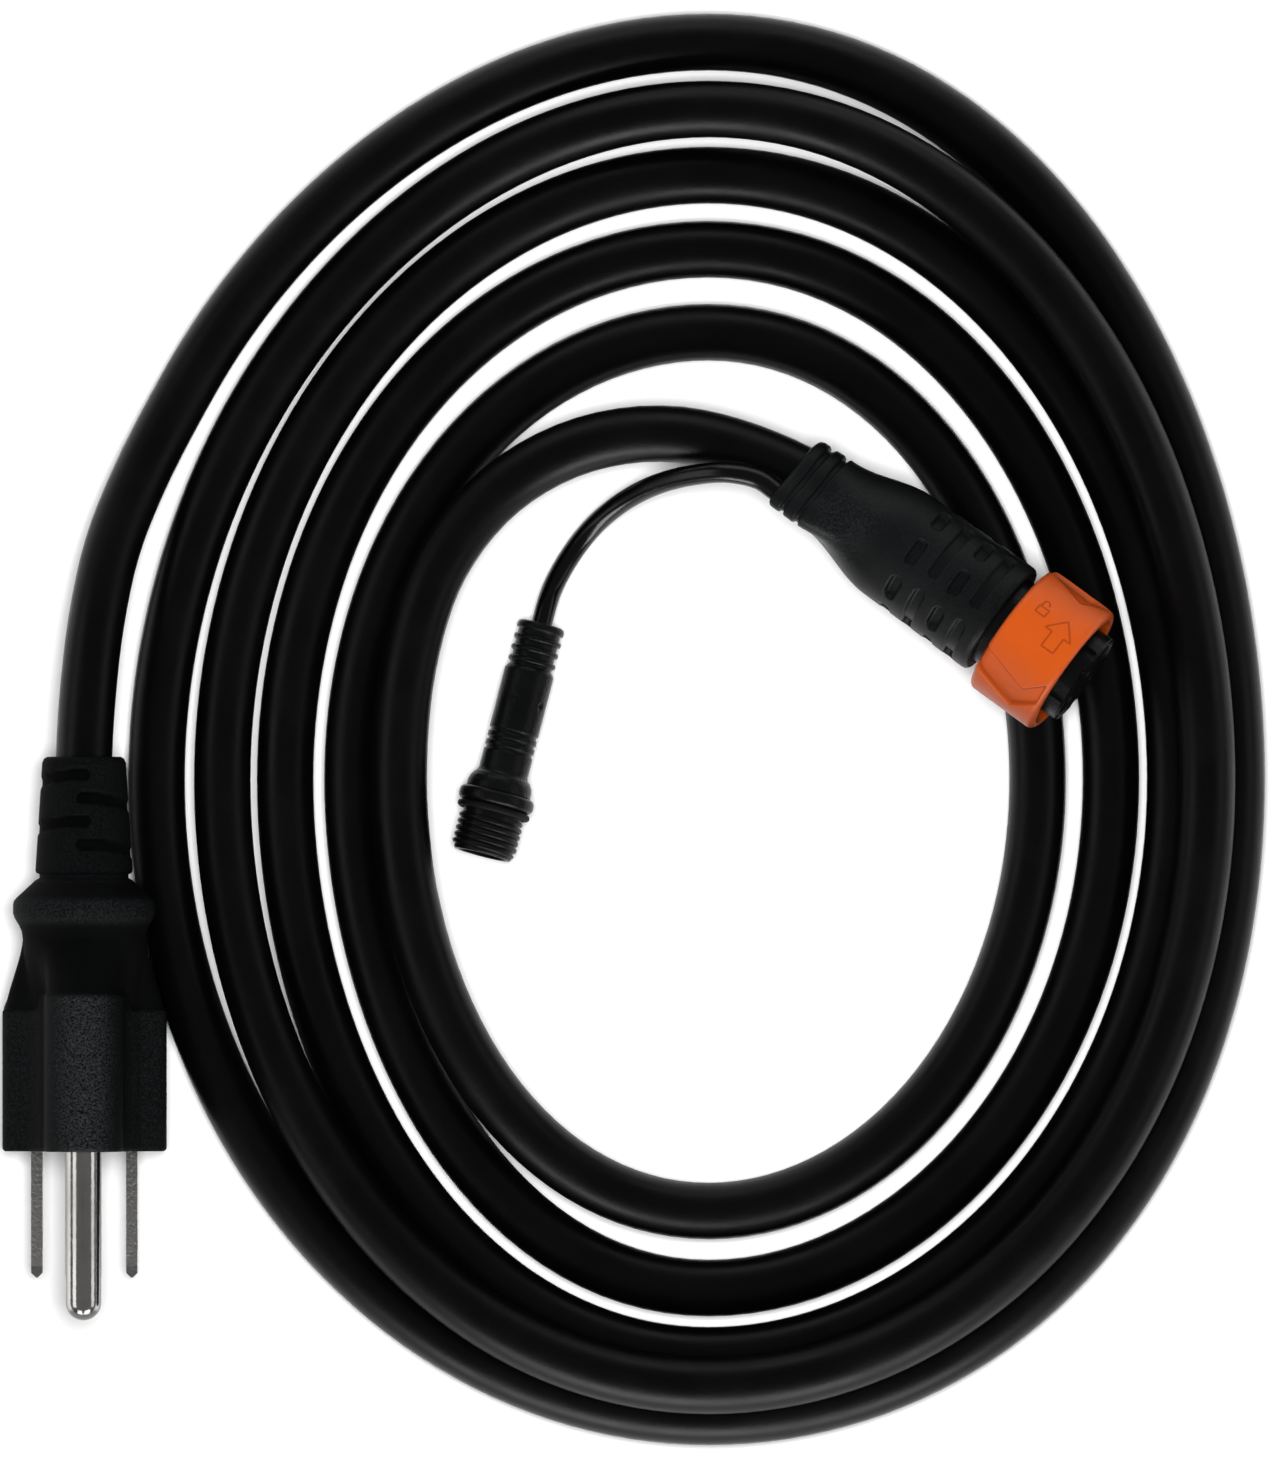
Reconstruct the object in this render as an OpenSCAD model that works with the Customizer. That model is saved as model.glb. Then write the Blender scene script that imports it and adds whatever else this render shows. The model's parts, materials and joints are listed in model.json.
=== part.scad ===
// Grounded power cord for a dimmable lamp: mains plug, coiled cord, twist-lock
// power connector and a thin signal lead with a small threaded connector.
// Millimetres, +Z up, the coil lies flat on the ground.

/* [Plug] */
// Width of the plug body
plug_width = 21.9; // [21:0.1:23]
// Distance between the two flat blades
blade_spacing = 12.7; // [12.5:0.05:12.9]
// Height of a flat blade
blade_height = 6.35; // [6.2:0.05:6.5]
// Thickness of a flat blade
blade_thickness = 1.5; // [1.4:0.05:1.6]
// Length of a flat blade in front of the plug face
blade_reach = 16.9; // [15.9:0.1:18]
// Diameter of the ground pin
ground_pin_d = 4.8; // [4.7:0.02:4.9]
// Length of the ground pin in front of the plug face
ground_pin_reach = 22.5; // [20:0.1:23]
// Distance from the blades to the ground pin
ground_offset = 11.9; // [11.8:0.05:12]

/* [Cord] */
// Diameter of the mains cord
cord_d = 7.6; // [7:0.1:8]
// Diameter of the signal lead
lead_d = 2.8; // [2.4:0.1:3]

/* [Power connector] */
// Diameter of the lock ring
ring_d = 19.1; // [18.4:0.1:19.6]
// Length of the lock ring
ring_length = 10.4; // [9.8:0.1:11]
// Turn of the lock ring between its two stops
ring_turn = 45; // [30:1:60]
// Radial play of the lock ring on its neck
ring_play = 0.05; // [0.03:0.01:0.09]
// Bore of a power contact
power_bore_d = 2.2; // [1.8:0.1:2.4]
// Bore of a signal contact
signal_bore_d = 1.2; // [0.8:0.1:1.4]
// Tilt of the connector, which leans on the coil with its nose up
connector_tilt = 8; // [7.5:0.5:10]

/* [Signal connector] */
// Outside diameter of the thread
thread_d = 8.8; // [8.4:0.1:9.2]
// Diameter of the collar behind the thread
collar_d = 10.2; // [9.8:0.1:11]
// Diameter of the barrel
barrel_d = 6.7; // [6.4:0.1:7]

/* [Hidden] */
$fn = 48;
fit = 0.05;
reach_past = 0.1;

cord_r = cord_d / 2;
lead_r = lead_d / 2;
floor_cut = cord_d / 10;
cord_floor = cord_r - floor_cut;

// Coil: how far each turn reaches from the centre, on its four sides
coil_centre = [10.1, -6.55];
reach_left = [83.4, 73.8, 65, 56.6, 47.6, 41.4];
reach_top = [98.6, 89.6, 80.8, 70.9, 59.8];
reach_right = [70.6, 66.6, 62.4, 53.8, 44];
reach_bottom = [85.2, 81, 77, 68, 57.7];
coil_start = 36;
coil_end = 1800;
ring_step = 15;
pile_height = 7.05;
pile_angles = [396, 516, 638, 756];
last_rise = 5.6;
last_rise_angles = [1700, 1785];

// Plug, measured from its rear rim to its face
plug_rear = [-73.3, -3.5, 11.5];
boot_length = 16.8;
collar_z = 19.4;
neck_z = 24.3;
body_z = 33.6;
face_z = 52.7;
cord_depth = 10.5;
blade_y = -4.8;
ground_y = blade_y + ground_offset;
bridge_z = 40;
bridge_end = bridge_z + 7;
tail_z = 37;
ridge_r = 5.2;
shank_d = ground_pin_d - 0.6;

// Power connector, measured from its rear rim along its axis
connector_rear = [22, 34.5, 12];
connector_turn = -36;
connector_length = 34;
tail_depth = 9;
lead_exit = [5, 3.8];
lead_depth = 5;
tunnel_end = [3.4, 2.4];
tunnel_z = 15;
pair_offset = [0.4, -0.45];
grip_r = 8.05;
housing_start = connector_length - 8;
contact_rear = connector_length - 10;
collar_seat = connector_length - 2.5;
ring_gap = 1.5;
ring_start = connector_length + ring_gap;
ring_r = ring_d / 2;
ring_wall = 1.25;
ring_inner_r = ring_r - ring_wall;
recess_depth = 0.45;
web = 1.9;
flange_r = ring_inner_r - 0.3;
flange_start = ring_start + web + 0.2;
flange_end = flange_start + 1.2;
nose_r = ring_inner_r - 1.7;
neck_r = nose_r - 0.15;
nose_end = ring_start + ring_length + 1.7;
keyway_depth = 0.7;
contact_offset = nose_r - 2.5;
contact_front = nose_end - 0.8;
stop_half = 6;
stop_margin = 1;

// Signal connector, measured from its strain relief along its axis
small_rear = [-12.2, 14.2, 3.4];
small_turn = -104.5;
small_tilt = 4.25;
relief_length = 6.4;
barrel_end = 21;
collar_start = 23.3;
collar_end = 25.3;
small_length = 31.9;
small_offset = 1.15;
small_contact_r = 0.8;
shell_bore_r = small_offset + small_contact_r + 0.1;
small_lead_depth = 5;

function mix(a, b, u) = a + (b - a) * u;
function ease(u) = (1 - cos(180 * min(1, max(0, u)))) / 2;
function unit(v) = v / norm(v);

// Reach of a half turn: even ones on the left and the top, odd ones on the right and the bottom
function side_reach(h) = h % 2 == 0 ? reach_left[h / 2] : reach_right[(h - 1) / 2];
function upright_reach(h) = h % 2 == 0 ? reach_top[h / 2] : reach_bottom[(h - 1) / 2];
function wide(a) = let (h = min(9, floor(a / 180)))
    mix(side_reach(h), side_reach(h + 1), ease(a / 180 - h));
function tall(a) = let (q = (a - 90) / 180, h = floor(q)) h < 0 ? upright_reach(0)
    : h > 8 ? upright_reach(9) : mix(upright_reach(h), upright_reach(h + 1), ease(q - h));
function ramp(a, from, to) = ease((a - from) / (to - from));
function pile(a) = pile_height * ramp(a, pile_angles[0], pile_angles[1])
    * (1 - ramp(a, pile_angles[2], pile_angles[3]))
    + last_rise * ramp(a, last_rise_angles[0], last_rise_angles[1]);
function turn_point(a) = [coil_centre.x - wide(a) * cos(a), coil_centre.y + tall(a) * sin(a),
    cord_floor + pile(a)];
function turn_heading(a) = unit(turn_point(a + 0.5) - turn_point(a - 0.5));

// The wound length, straight for one diameter at both ends
coil_first = turn_point(coil_start);
coil_last = turn_point(coil_end);
first_heading = turn_heading(coil_start);
last_heading = [0, 1, 0];
coil_path = concat([coil_first, coil_first + cord_d * first_heading],
    [for (a = [coil_start + ring_step : ring_step : coil_end - ring_step + 1]) turn_point(a)],
    [coil_last - cord_d * last_heading, coil_last]);

// Directions of the power connector: along its axis, up, and to its lower left
function heading(tilt, turn) = [cos(tilt) * cos(turn), cos(tilt) * sin(turn), sin(tilt)];
axis_dir = heading(connector_tilt, connector_turn);
up_dir = heading(connector_tilt + 90, connector_turn);
left_dir = [sin(connector_turn), -cos(connector_turn), 0];
small_dir = heading(small_tilt, small_turn);

// Free stretch from the plug down to the first turn
plug_lead_path = concat([plug_rear + [0, -cord_depth, 0], plug_rear],
    [[-73, 5, 11.3], [-71.6, 14, 9.9], [-69.5, 24, 7.3], [-66.4, 34, 4.7]],
    [coil_first - cord_d * first_heading, coil_first]);

// Free stretch from the last turn up to the power connector
tail_path = concat([coil_last, coil_last + cord_d * last_heading],
    [[-29.5, 10, 8.5], [-25.2, 20.8, 8.3], [-17.7, 31, 8.2], [-6.4, 38.5, 8.6], [7, 40.2, 10]],
    [connector_rear, connector_rear + tail_depth * axis_dir]);

// Signal lead from the power connector to the small connector
lead_start = connector_rear + lead_exit.x * up_dir + lead_exit.y * left_dir;
signal_lead_path = concat([lead_start + lead_depth * axis_dir, lead_start, lead_start - lead_d * axis_dir],
    [[12.8, 34.4, 15.9], [7.5, 34, 13.1], [2.5, 32.6, 9.4], [-1.9, 30.2, 5.6]],
    [[-5.5, 27.1, 2.8], [-8.5, 23.2, 1.7], [-10.6, 19.4, 2.1]],
    [small_rear - lead_d * small_dir, small_rear, small_rear + small_lead_depth * small_dir]);

// Tube along a path: rings of points square to it, none of them below the ground
function path_heading(path, i) = let (last = len(path) - 1)
    i == 0 ? unit(path[1] - path[0]) : i == last ? unit(path[last] - path[last - 1])
    : unit(unit(path[i + 1] - path[i]) + unit(path[i] - path[i - 1]));
function ring_points(centre, dir, r, sides, upright) =
    let (side = unit(cross(dir, upright)), up = cross(side, dir))
    [for (k = [0 : sides - 1]) let (a = 360 * (k + (sides == 6 ? 0 : 0.5)) / sides,
        p = centre + r * cos(a) * side + r * sin(a) * up) [p.x, p.y, max(0, p.z)]];

module tube(path, r, sides, upright = [0, 0, 1]) {
    rings = len(path);
    points = [for (i = [0 : rings - 1])
        each ring_points(path[i], path_heading(path, i), r, sides, upright)];
    skin = [for (i = [0 : rings - 2]) for (k = [0 : sides - 1])
        let (a = i * sides + k, b = i * sides + (k + 1) % sides)
            each [[a, a + sides, b], [b, a + sides, b + sides]]];
    first_cap = [for (k = [1 : sides - 2]) [0, k, k + 1]];
    base = (rings - 1) * sides;
    last_cap = [for (k = [1 : sides - 2]) [base, base + k + 1, base + k]];
    polyhedron(points = points, faces = concat(skin, first_cap, last_cap));
}

// Measured on points of the centreline, a third of a turn or more apart
function path_length(path) = len(path) < 2 ? 0
    : let (steps = [for (i = [1 : len(path) - 1]) norm(path[i] - path[i - 1])]) steps * [for (s = steps) 1];
measure_step = 4;
measure_points = [for (a = [coil_start : measure_step : coil_end]) turn_point(a)];
least_gap = min([for (i = [0 : len(measure_points) - 31]) min([for (j = [i + 30 : len(measure_points) - 1])
    norm(measure_points[i] - measure_points[j])])]) - cord_d;
union() {
    echo("least gap of the coil to itself", least_gap);
    echo("length of the mains cord",
        path_length(measure_points) + path_length(plug_lead_path) + path_length(tail_path));
    echo("length of the signal lead", path_length(signal_lead_path));
    echo("connector axis", axis_dir, "small axis", small_dir, "lead exit", lead_start);
}

// Frames of the three moulded ends
module plug_frame() {
    translate(plug_rear) rotate([90, 0, 0]) children();
}

module connector_frame() {
    translate(connector_rear) rotate([0, 90 - connector_tilt, connector_turn])
        rotate([0, 0, 180]) children();
}

module small_frame() {
    translate(small_rear) rotate([0, 90 - small_tilt, small_turn]) rotate([0, 0, 180]) children();
}

module torus(ring_r, wire_r) {
    rotate_extrude() translate([ring_r, 0]) circle(r = wire_r);
}

module rounded_bar(width, height, r) {
    square([width - 2 * r, height], center = true);
    square([width, height - 2 * r], center = true);
    for (x = [-1, 1], y = [-1, 1])
        translate([x * (width / 2 - r), y * (height / 2 - r)]) circle(r = r);
}

// Section of the plug body: a wide bar round the blades and a ridge over the ground pin
bar_top = -0.3;
module plug_section() {
    translate([0, (bar_top - plug_rear.z) / 2]) rounded_bar(plug_width, bar_top + plug_rear.z, 2.2);
    translate([-ridge_r, bar_top - 2]) square([2 * ridge_r, ground_y - bar_top + 2]);
    translate([0, ground_y]) circle(r = ridge_r);
    polygon([[-plug_width / 2 + 2.4, bar_top - 1], [plug_width / 2 - 2.4, bar_top - 1],
        [ridge_r - 0.2, 4], [0.2 - ridge_r, 4]]);
}

module bridge_block(from, to, gap) {
    translate([-8.4 - gap, -8.6 - gap, from]) cube([16.8 + 2 * gap, 7.6 + 2 * gap, to - from]);
    translate([-3.6 - gap, -2, from]) cube([7.2 + 2 * gap, 12.4 + gap, to - from]);
}

module blade_blank(x, from, to, gap) {
    translate([x - blade_thickness / 2 - gap, blade_y - blade_height / 2 - gap, from])
        cube([blade_thickness + 2 * gap, blade_height + 2 * gap, to - from]);
}

module plug_body() {
    slot_width = 1.9;
    color([0.05, 0.05, 0.055]) plug_frame() difference() {
        union() {
            rotate_extrude() polygon([[0, 0], [4.7, 0], [5.4, 0.4], [5.7, 1.2], [6.5, boot_length - 1.2],
                [5.9, boot_length - 1.1], [5.9, boot_length - 0.5], [6.6, boot_length - 0.3],
                [9.3, collar_z - 0.4], [9.5, collar_z], [9.5, 21.2], [9.2, 21.8], [8.5, 22.8],
                [8.2, neck_z], [8.2, neck_z + 1], [0, neck_z + 1]]);
            hull() {
                translate([0, 0, neck_z]) cylinder(r = 8.2, h = 0.5);
                translate([0, 0, body_z]) linear_extrude(0.4) plug_section();
            }
            translate([0, 0, body_z]) linear_extrude(face_z - body_z) plug_section();
        }
        for (k = [0 : 3]) translate([0, 0, 2.2 + k * 3.1]) rotate([0, 0, k % 2 == 0 ? 100 : -80])
            rotate_extrude(angle = 160) translate([4.6, 0]) square([4, slot_width]);
        translate([0, 0, -reach_past]) cylinder(r = cord_r + fit, h = cord_depth + fit + reach_past);
        translate([0, 0, cord_depth]) cylinder(r1 = cord_r, r2 = 6.2, h = 26 - cord_depth);
        translate([0, 0, 25.9]) cylinder(r = 6.2, h = 6.1);
        translate([-1.6, 0, 28]) cube([3.2, ground_y + wire_r + 0.2, bridge_z - 28]);
        translate([-8.4, -8.6, 31.5]) cube([16.8, 7.6, bridge_z - 31.5]);
        bridge_block(bridge_z - 3, bridge_end + fit, fit);
        for (side = [-1, 1])
            blade_blank(side * blade_spacing / 2, bridge_end - 1, face_z + reach_past, fit);
        translate([0, ground_y, bridge_end - 1])
            cylinder(d = shank_d + 2 * fit, h = face_z - bridge_end + 1 + reach_past);
    }
}

module blade_bridge() {
    color([0.75, 0.74, 0.7]) plug_frame() difference() {
        bridge_block(bridge_z, bridge_end, 0);
        for (side = [-1, 1]) blade_blank(side * blade_spacing / 2, bridge_z - 1, bridge_end + 1, fit);
        translate([0, ground_y, bridge_z - 1]) cylinder(d = shank_d + 2 * fit, h = 9);
    }
}

// Flat blade with a narrow tail for its wire, a bevelled tip and a detent hole
module blade(x) {
    tip = face_z + blade_reach;
    plug_frame() difference() {
        union() {
            blade_blank(x, bridge_z - 1, tip, 0);
            translate([x - blade_thickness / 2, blade_y - 1.5, tail_z]) cube([blade_thickness, 3, 4]);
        }
        for (side = [-1, 1]) translate([x, blade_y + side * blade_height / 2, tip]) rotate([45, 0, 0])
            cube([4, 2.2, 2.2], center = true);
        for (side = [-1, 1]) translate([x + side * blade_thickness / 2, blade_y, tip]) rotate([0, 45, 0])
            cube([0.9, 10, 0.9], center = true);
        translate([x - 2, blade_y, face_z + 11.9]) rotate([0, 90, 0]) cylinder(r = 1.6, h = 4);
    }
}

module line_blade() {
    color([0.74, 0.73, 0.7]) blade(blade_spacing / 2);
}

module neutral_blade() {
    color([0.74, 0.73, 0.7]) blade(-blade_spacing / 2);
}

// Rolled ground pin: a round bar with a domed tip and the seam of the rolled strip on its upper side
module ground_pin() {
    tip = face_z + ground_pin_reach - ground_pin_d / 2;
    color([0.78, 0.77, 0.74]) plug_frame() translate([0, ground_y, 0]) difference() {
        union() {
            translate([0, 0, bridge_z - 1]) cylinder(d = shank_d, h = face_z - bridge_z + 1.1);
            translate([0, 0, face_z]) cylinder(d = ground_pin_d, h = tip - face_z);
            translate([0, 0, tip]) sphere(d = ground_pin_d);
            translate([-0.75, -1.5, tail_z]) cube([1.5, 3, 3]);
        }
        translate([-0.15, ground_pin_d / 2 - 0.5, face_z + 1.5]) cube([0.3, 2, ground_pin_reach]);
    }
}

// Wires inside the plug, from the end of the jacket to the tails of the blades
wire_r = 1.15;
module plug_wire(start, end) {
    middle = concat(mix(start, end, 0.4), [31]);
    plug_frame() tube([[start.x, start.y, cord_depth], [start.x, start.y, 23.5], middle,
        [end.x, end.y, tail_z - 2.6], [end.x, end.y, tail_z]], wire_r, 6, [1, 0, 0]);
}

module plug_line_wire() {
    color([0.08, 0.08, 0.08]) plug_wire([1.6, -0.9], [blade_spacing / 2, blade_y]);
}

module plug_neutral_wire() {
    color([0.9, 0.9, 0.88]) plug_wire([-1.6, -0.9], [-blade_spacing / 2, blade_y]);
}

module plug_ground_wire() {
    color([0.1, 0.45, 0.16]) plug_wire([0, 1.8], [0, ground_y]);
}

// Mains cord
module plug_lead() {
    color([0.06, 0.06, 0.065]) tube(plug_lead_path, cord_r, 8);
}

module cord_coil() {
    color([0.06, 0.06, 0.065]) tube(coil_path, cord_r, 6);
}

module connector_tail() {
    color([0.06, 0.06, 0.065]) tube(tail_path, cord_r, 8);
}

// Power connector: soft grip with its strain relief, four rows of grip slots and a lobe for the signal lead
taper = [for (s = [5 : 1.5 : 17]) [mix(5.5, grip_r - 0.1, ease((s - 5) / 12)), s]];
wire_room_r = contact_offset + wire_r + 0.65;
slot_rows = [13.7, 10.1, 6.6, 3.2];
slot_width = 1.5;
slot_depth = 0.6;
module grip_slots(row) {
    short = row % 2 == 0;
    spacing = short ? 45 : 90;
    arc = short ? 28 : 72;
    middle = short ? -4 : -29;
    for (k = [0 : 360 / spacing - 1]) rotate([0, 0, spacing * k + middle - arc / 2])
        translate([0, 0, connector_length - slot_rows[row] - slot_width / 2])
            rotate_extrude(angle = arc) translate([grip_r - slot_depth, 0]) square([2, slot_width]);
}

module connector_grip() {
    tunnel = tunnel_end - lead_exit;
    color([0.05, 0.05, 0.055]) connector_frame() difference() {
        union() {
            rotate_extrude() polygon(concat(
                [[0, 0], [4.7, 0], [5.2, 0.4], [5.35, 1.7], [4.8, 1.8], [4.8, 2.5], [5.4, 2.6]],
                [[5.45, 4.1], [4.9, 4.2], [4.9, 4.9]], taper,
                [[grip_r, connector_length - 8], [grip_r + 0.1, connector_length - 0.5]],
                [[grip_r - 0.15, connector_length], [0, connector_length]]));
            hull() {
                translate([lead_exit.x, lead_exit.y, 0.3]) cylinder(r = 2.3, h = 5);
                translate([3.2, 2.5, 14]) sphere(r = 2.6, $fn = 24);
            }
        }
        for (row = [0 : 3]) grip_slots(row);
        translate([0, 0, -reach_past]) cylinder(r = cord_r + fit, h = tail_depth + fit + reach_past);
        translate([0, 0, tail_depth]) cylinder(r1 = cord_r, r2 = wire_room_r, h = 8);
        translate([0, 0, 16.9]) cylinder(r = wire_room_r, h = contact_rear - 16);
        translate([0, 0, contact_rear]) cylinder(r = neck_r + fit, h = connector_length);
        translate([lead_exit.x, lead_exit.y, -reach_past])
            cylinder(r = lead_r + fit, h = lead_depth + fit + reach_past);
        translate([lead_exit.x, lead_exit.y, lead_depth - 0.5])
            rotate([0, atan2(norm(tunnel), tunnel_z - lead_depth), atan2(tunnel.y, tunnel.x)])
                cylinder(r = 1.3, h = tunnel_z - lead_depth + 1.5);
    }
}

contact_places = [[0, 0], [0, contact_offset], [0, -contact_offset],
    [contact_offset, 0], [-contact_offset, 0]];
power_r = power_bore_d / 2 + 0.4;
signal_r = signal_bore_d / 2 + 0.4;
function contact_r(k) = k < 3 ? power_r : signal_r;
function contact_bore_r(k) = (k < 3 ? power_bore_d : signal_bore_d) / 2;

// Rigid housing: neck for the lock ring, stop rib, flange, and a nose with keyways of two widths
module contact_housing() {
    color([0.06, 0.06, 0.065]) connector_frame() difference() {
        union() {
            translate([0, 0, housing_start]) cylinder(r = neck_r, h = flange_end - housing_start);
            translate([0, 0, flange_start]) cylinder(r = flange_r, h = flange_end - flange_start);
            translate([0, 0, flange_end]) cylinder(r = nose_r, h = nose_end - flange_end);
            rotate([0, 0, -stop_half]) translate([0, 0, ring_start]) rotate_extrude(angle = 2 * stop_half)
                translate([neck_r - 1, 0]) square([1.5, flange_start - ring_start + 0.2]);
        }
        for (k = [0 : 4]) translate([contact_places[k].x, contact_places[k].y, housing_start - 1]) {
            cylinder(r = contact_r(k) + fit, h = 30);
            cylinder(r = contact_r(k) + 0.3, h = collar_seat - housing_start + 1);
        }
        for (k = [0 : 5]) rotate([0, 0, 60 * k + 30])
            translate([nose_r - keyway_depth, k == 0 ? -1.3 : -0.7, nose_end - 2.5])
                cube([2, k == 0 ? 2.6 : 1.4, 5]);
    }
}

// Lock ring: an open cup with a web on the neck, a slot for the stop rib, three inward lugs
// and three grip recesses bent like a chevron
module lock_ring() {
    ring_end = ring_start + ring_length;
    color([0.86, 0.33, 0.1]) connector_frame() difference() {
        union() {
            rotate_extrude() polygon([[neck_r + ring_play, ring_start], [ring_r - 0.9, ring_start],
                [ring_r - 0.27, ring_start + 0.27], [ring_r, ring_start + 0.9],
                [ring_r, ring_end - 0.9], [ring_r - 0.27, ring_end - 0.27], [ring_r - 0.9, ring_end],
                [ring_inner_r, ring_end], [ring_inner_r, ring_start + web],
                [neck_r + ring_play, ring_start + web]]);
            for (k = [0 : 2]) rotate([0, 0, 120 * k + 60]) translate([0, 0, ring_end - 2.4])
                rotate_extrude(angle = 16) translate([ring_inner_r - 0.8, 0]) square([1.2, 1.6]);
        }
        rotate([0, 0, -stop_half - stop_margin]) translate([0, 0, ring_start - 1])
            rotate_extrude(angle = ring_turn + 2 * stop_half + 2 * stop_margin)
                translate([neck_r - 1, 0]) square([1.7, web + 2]);
        for (k = [0 : 2]) rotate([0, 0, 120 * k + 44]) ring_recess();
    }
}

// Grip recess: from the rear edge it leans one way, and near the front edge back again
module ring_recess() {
    back = ring_length * 0.69;
    front = ring_length * 0.9;
    intersection() {
        translate([0, 0, ring_start - 0.5]) rotate([0, 90, 0]) linear_extrude(ring_r + 2)
            polygon([[0, -3.2], [-0.5 - back, -0.9], [-0.5 - front, -3.2], [-0.5 - front, 0.4],
                [-0.5 - back, 3], [0, 0.4]]);
        difference() {
            translate([0, 0, ring_start - 1]) cylinder(r = ring_r + 1, h = ring_length + 2);
            translate([0, 0, ring_start - 2]) cylinder(r = ring_r - recess_depth, h = ring_length + 4);
        }
    }
}

module face_seal() {
    color([0.1, 0.1, 0.1]) connector_frame() translate([0, 0, flange_end + 0.5])
        torus(nose_r + fit + 0.5, 0.5);
}

// Female contact: bored at the front, with a collar that seats in the housing
module contact(k) {
    r = contact_r(k);
    place = contact_places[k];
    color([0.8, 0.66, 0.34]) connector_frame() translate([place.x, place.y, 0]) difference() {
        union() {
            translate([0, 0, contact_rear]) cylinder(r = r, h = contact_front - contact_rear);
            translate([0, 0, collar_seat - 1.5]) cylinder(r = r + 0.25, h = 1.5);
        }
        translate([0, 0, contact_front - 11]) cylinder(r = contact_bore_r(k), h = 12);
    }
}

module ground_socket() {
    contact(0);
}

module line_socket() {
    contact(1);
}

module neutral_socket() {
    contact(2);
}

module signal_plus_socket() {
    contact(3);
}

module signal_minus_socket() {
    contact(4);
}

// Wires inside the power connector, from the ends of the two jackets to the rear of the contacts
module power_wire(start, place) {
    connector_frame() tube([[start.x, start.y, tail_depth], [start.x, start.y, 12],
        [place.x, place.y, contact_rear - 3], [place.x, place.y, contact_rear]], wire_r, 6, [1, 0, 0]);
}

module line_wire() {
    color([0.08, 0.08, 0.08]) power_wire([-1, 1.7], contact_places[1]);
}

module neutral_wire() {
    color([0.9, 0.9, 0.88]) power_wire([-1, -1.7], contact_places[2]);
}

module ground_wire() {
    color([0.1, 0.45, 0.16]) power_wire([1.8, 0], contact_places[0]);
}

small_wire_r = 0.5;
function pair_start(side) = [for (z = [lead_depth, lead_depth + 0.8])
    concat(lead_exit + side * pair_offset, [z])];
function pair_end(side) = [concat(tunnel_end + side * pair_offset, [tunnel_z])];
module signal_plus_wire() {
    color([0.45, 0.2, 0.6]) connector_frame() tube(concat(pair_start(1), pair_end(1),
        [[contact_offset, 0, contact_rear - 3], [contact_offset, 0, contact_rear]]),
        small_wire_r, 6, [1, 0, 0]);
}

// This one crosses between the ground wire and the line wire
module signal_minus_wire() {
    gap_y = contact_offset / 2;
    color([0.6, 0.6, 0.6]) connector_frame() tube(concat(pair_start(-1), pair_end(-1),
        [[2.2, gap_y + 0.15, contact_rear - 5.5], [0, gap_y, contact_rear - 3]],
        [[-2.5, 1.5, contact_rear - 1.8], [-contact_offset, 0, contact_rear - 0.8]],
        [[-contact_offset, 0, contact_rear]]),
        small_wire_r, 6, [1, 0, 0]);
}

// Signal lead
module signal_lead() {
    color([0.06, 0.06, 0.065]) tube(signal_lead_path, lead_r, 8);
}

// Signal connector: soft grip with a ribbed strain relief and thin rings round its barrel
module signal_grip() {
    barrel_r = barrel_d / 2;
    color([0.05, 0.05, 0.055]) small_frame() difference() {
        rotate_extrude() difference() {
            polygon([[0, 0], [barrel_r - 0.5, 0], [barrel_r - 0.1, 0.4], [barrel_r - 0.1, relief_length],
                [barrel_r, relief_length + 0.4], [barrel_r, barrel_end - 0.6], [barrel_r + 0.2, barrel_end],
                [thread_d / 2 - 0.3, barrel_end + 0.9], [thread_d / 2, barrel_end + 1.6],
                [thread_d / 2, collar_start], [0, collar_start]]);
            for (k = [0 : 3]) translate([barrel_r - 0.6, 1 + 1.5 * k]) square([2, 0.7]);
            for (k = [0 : 2]) translate([barrel_r - 0.25, 15 + 1.2 * k]) square([2, 0.4]);
        }
        translate([0, 0, -reach_past])
            cylinder(r = lead_r + fit, h = small_lead_depth + fit + reach_past);
        translate([0, 0, small_lead_depth]) cylinder(r1 = lead_r, r2 = 2.4, h = 5);
        translate([0, 0, small_lead_depth + 4.9]) cylinder(r = 2.4, h = 8);
        translate([0, 0, 16]) cylinder(r = 2.65 + fit, h = collar_start);
    }
}

// Threaded shell with its collar, a groove for the ring seal and a tail in the grip
module signal_shell() {
    thread_r = thread_d / 2;
    color([0.06, 0.06, 0.065]) small_frame() rotate_extrude() polygon([
        [shell_bore_r, 16], [2.65, 16], [2.65, collar_start], [collar_d / 2 - 0.3, collar_start],
        [collar_d / 2, collar_start + 0.3], [collar_d / 2, collar_end], [thread_r - 0.4, collar_end],
        [thread_r - 0.4, collar_end + 1.1], [thread_r, collar_end + 1.1], [thread_r, small_length - 0.4],
        [thread_r - 0.4, small_length], [3.25, small_length], [3.25, collar_end - 0.8],
        [shell_bore_r, collar_end - 0.8]]);
}

module signal_insert() {
    color([0.12, 0.12, 0.12]) small_frame() difference() {
        translate([0, 0, collar_end - 0.8]) cylinder(r = 3.25 - fit, h = small_length - collar_end + 0.3);
        for (side = [-1, 1]) translate([0, side * small_offset, 0])
            cylinder(r = small_contact_r + fit, h = 40);
        translate([3, 0, small_length]) cube([1.6, 1.2, 6], center = true);
    }
}

module signal_o_ring() {
    color([0.1, 0.1, 0.1]) small_frame() translate([0, 0, collar_end + 0.5])
        torus(thread_d / 2 - 0.4 + fit + 0.45, 0.45);
}

module small_contact(side) {
    color([0.8, 0.66, 0.34]) small_frame() translate([0, side * small_offset, 0]) difference() {
        translate([0, 0, 21]) cylinder(r = small_contact_r, h = small_length - 21.8);
        translate([0, 0, small_length - 6]) cylinder(r = 0.55, h = 8);
    }
}

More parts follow.
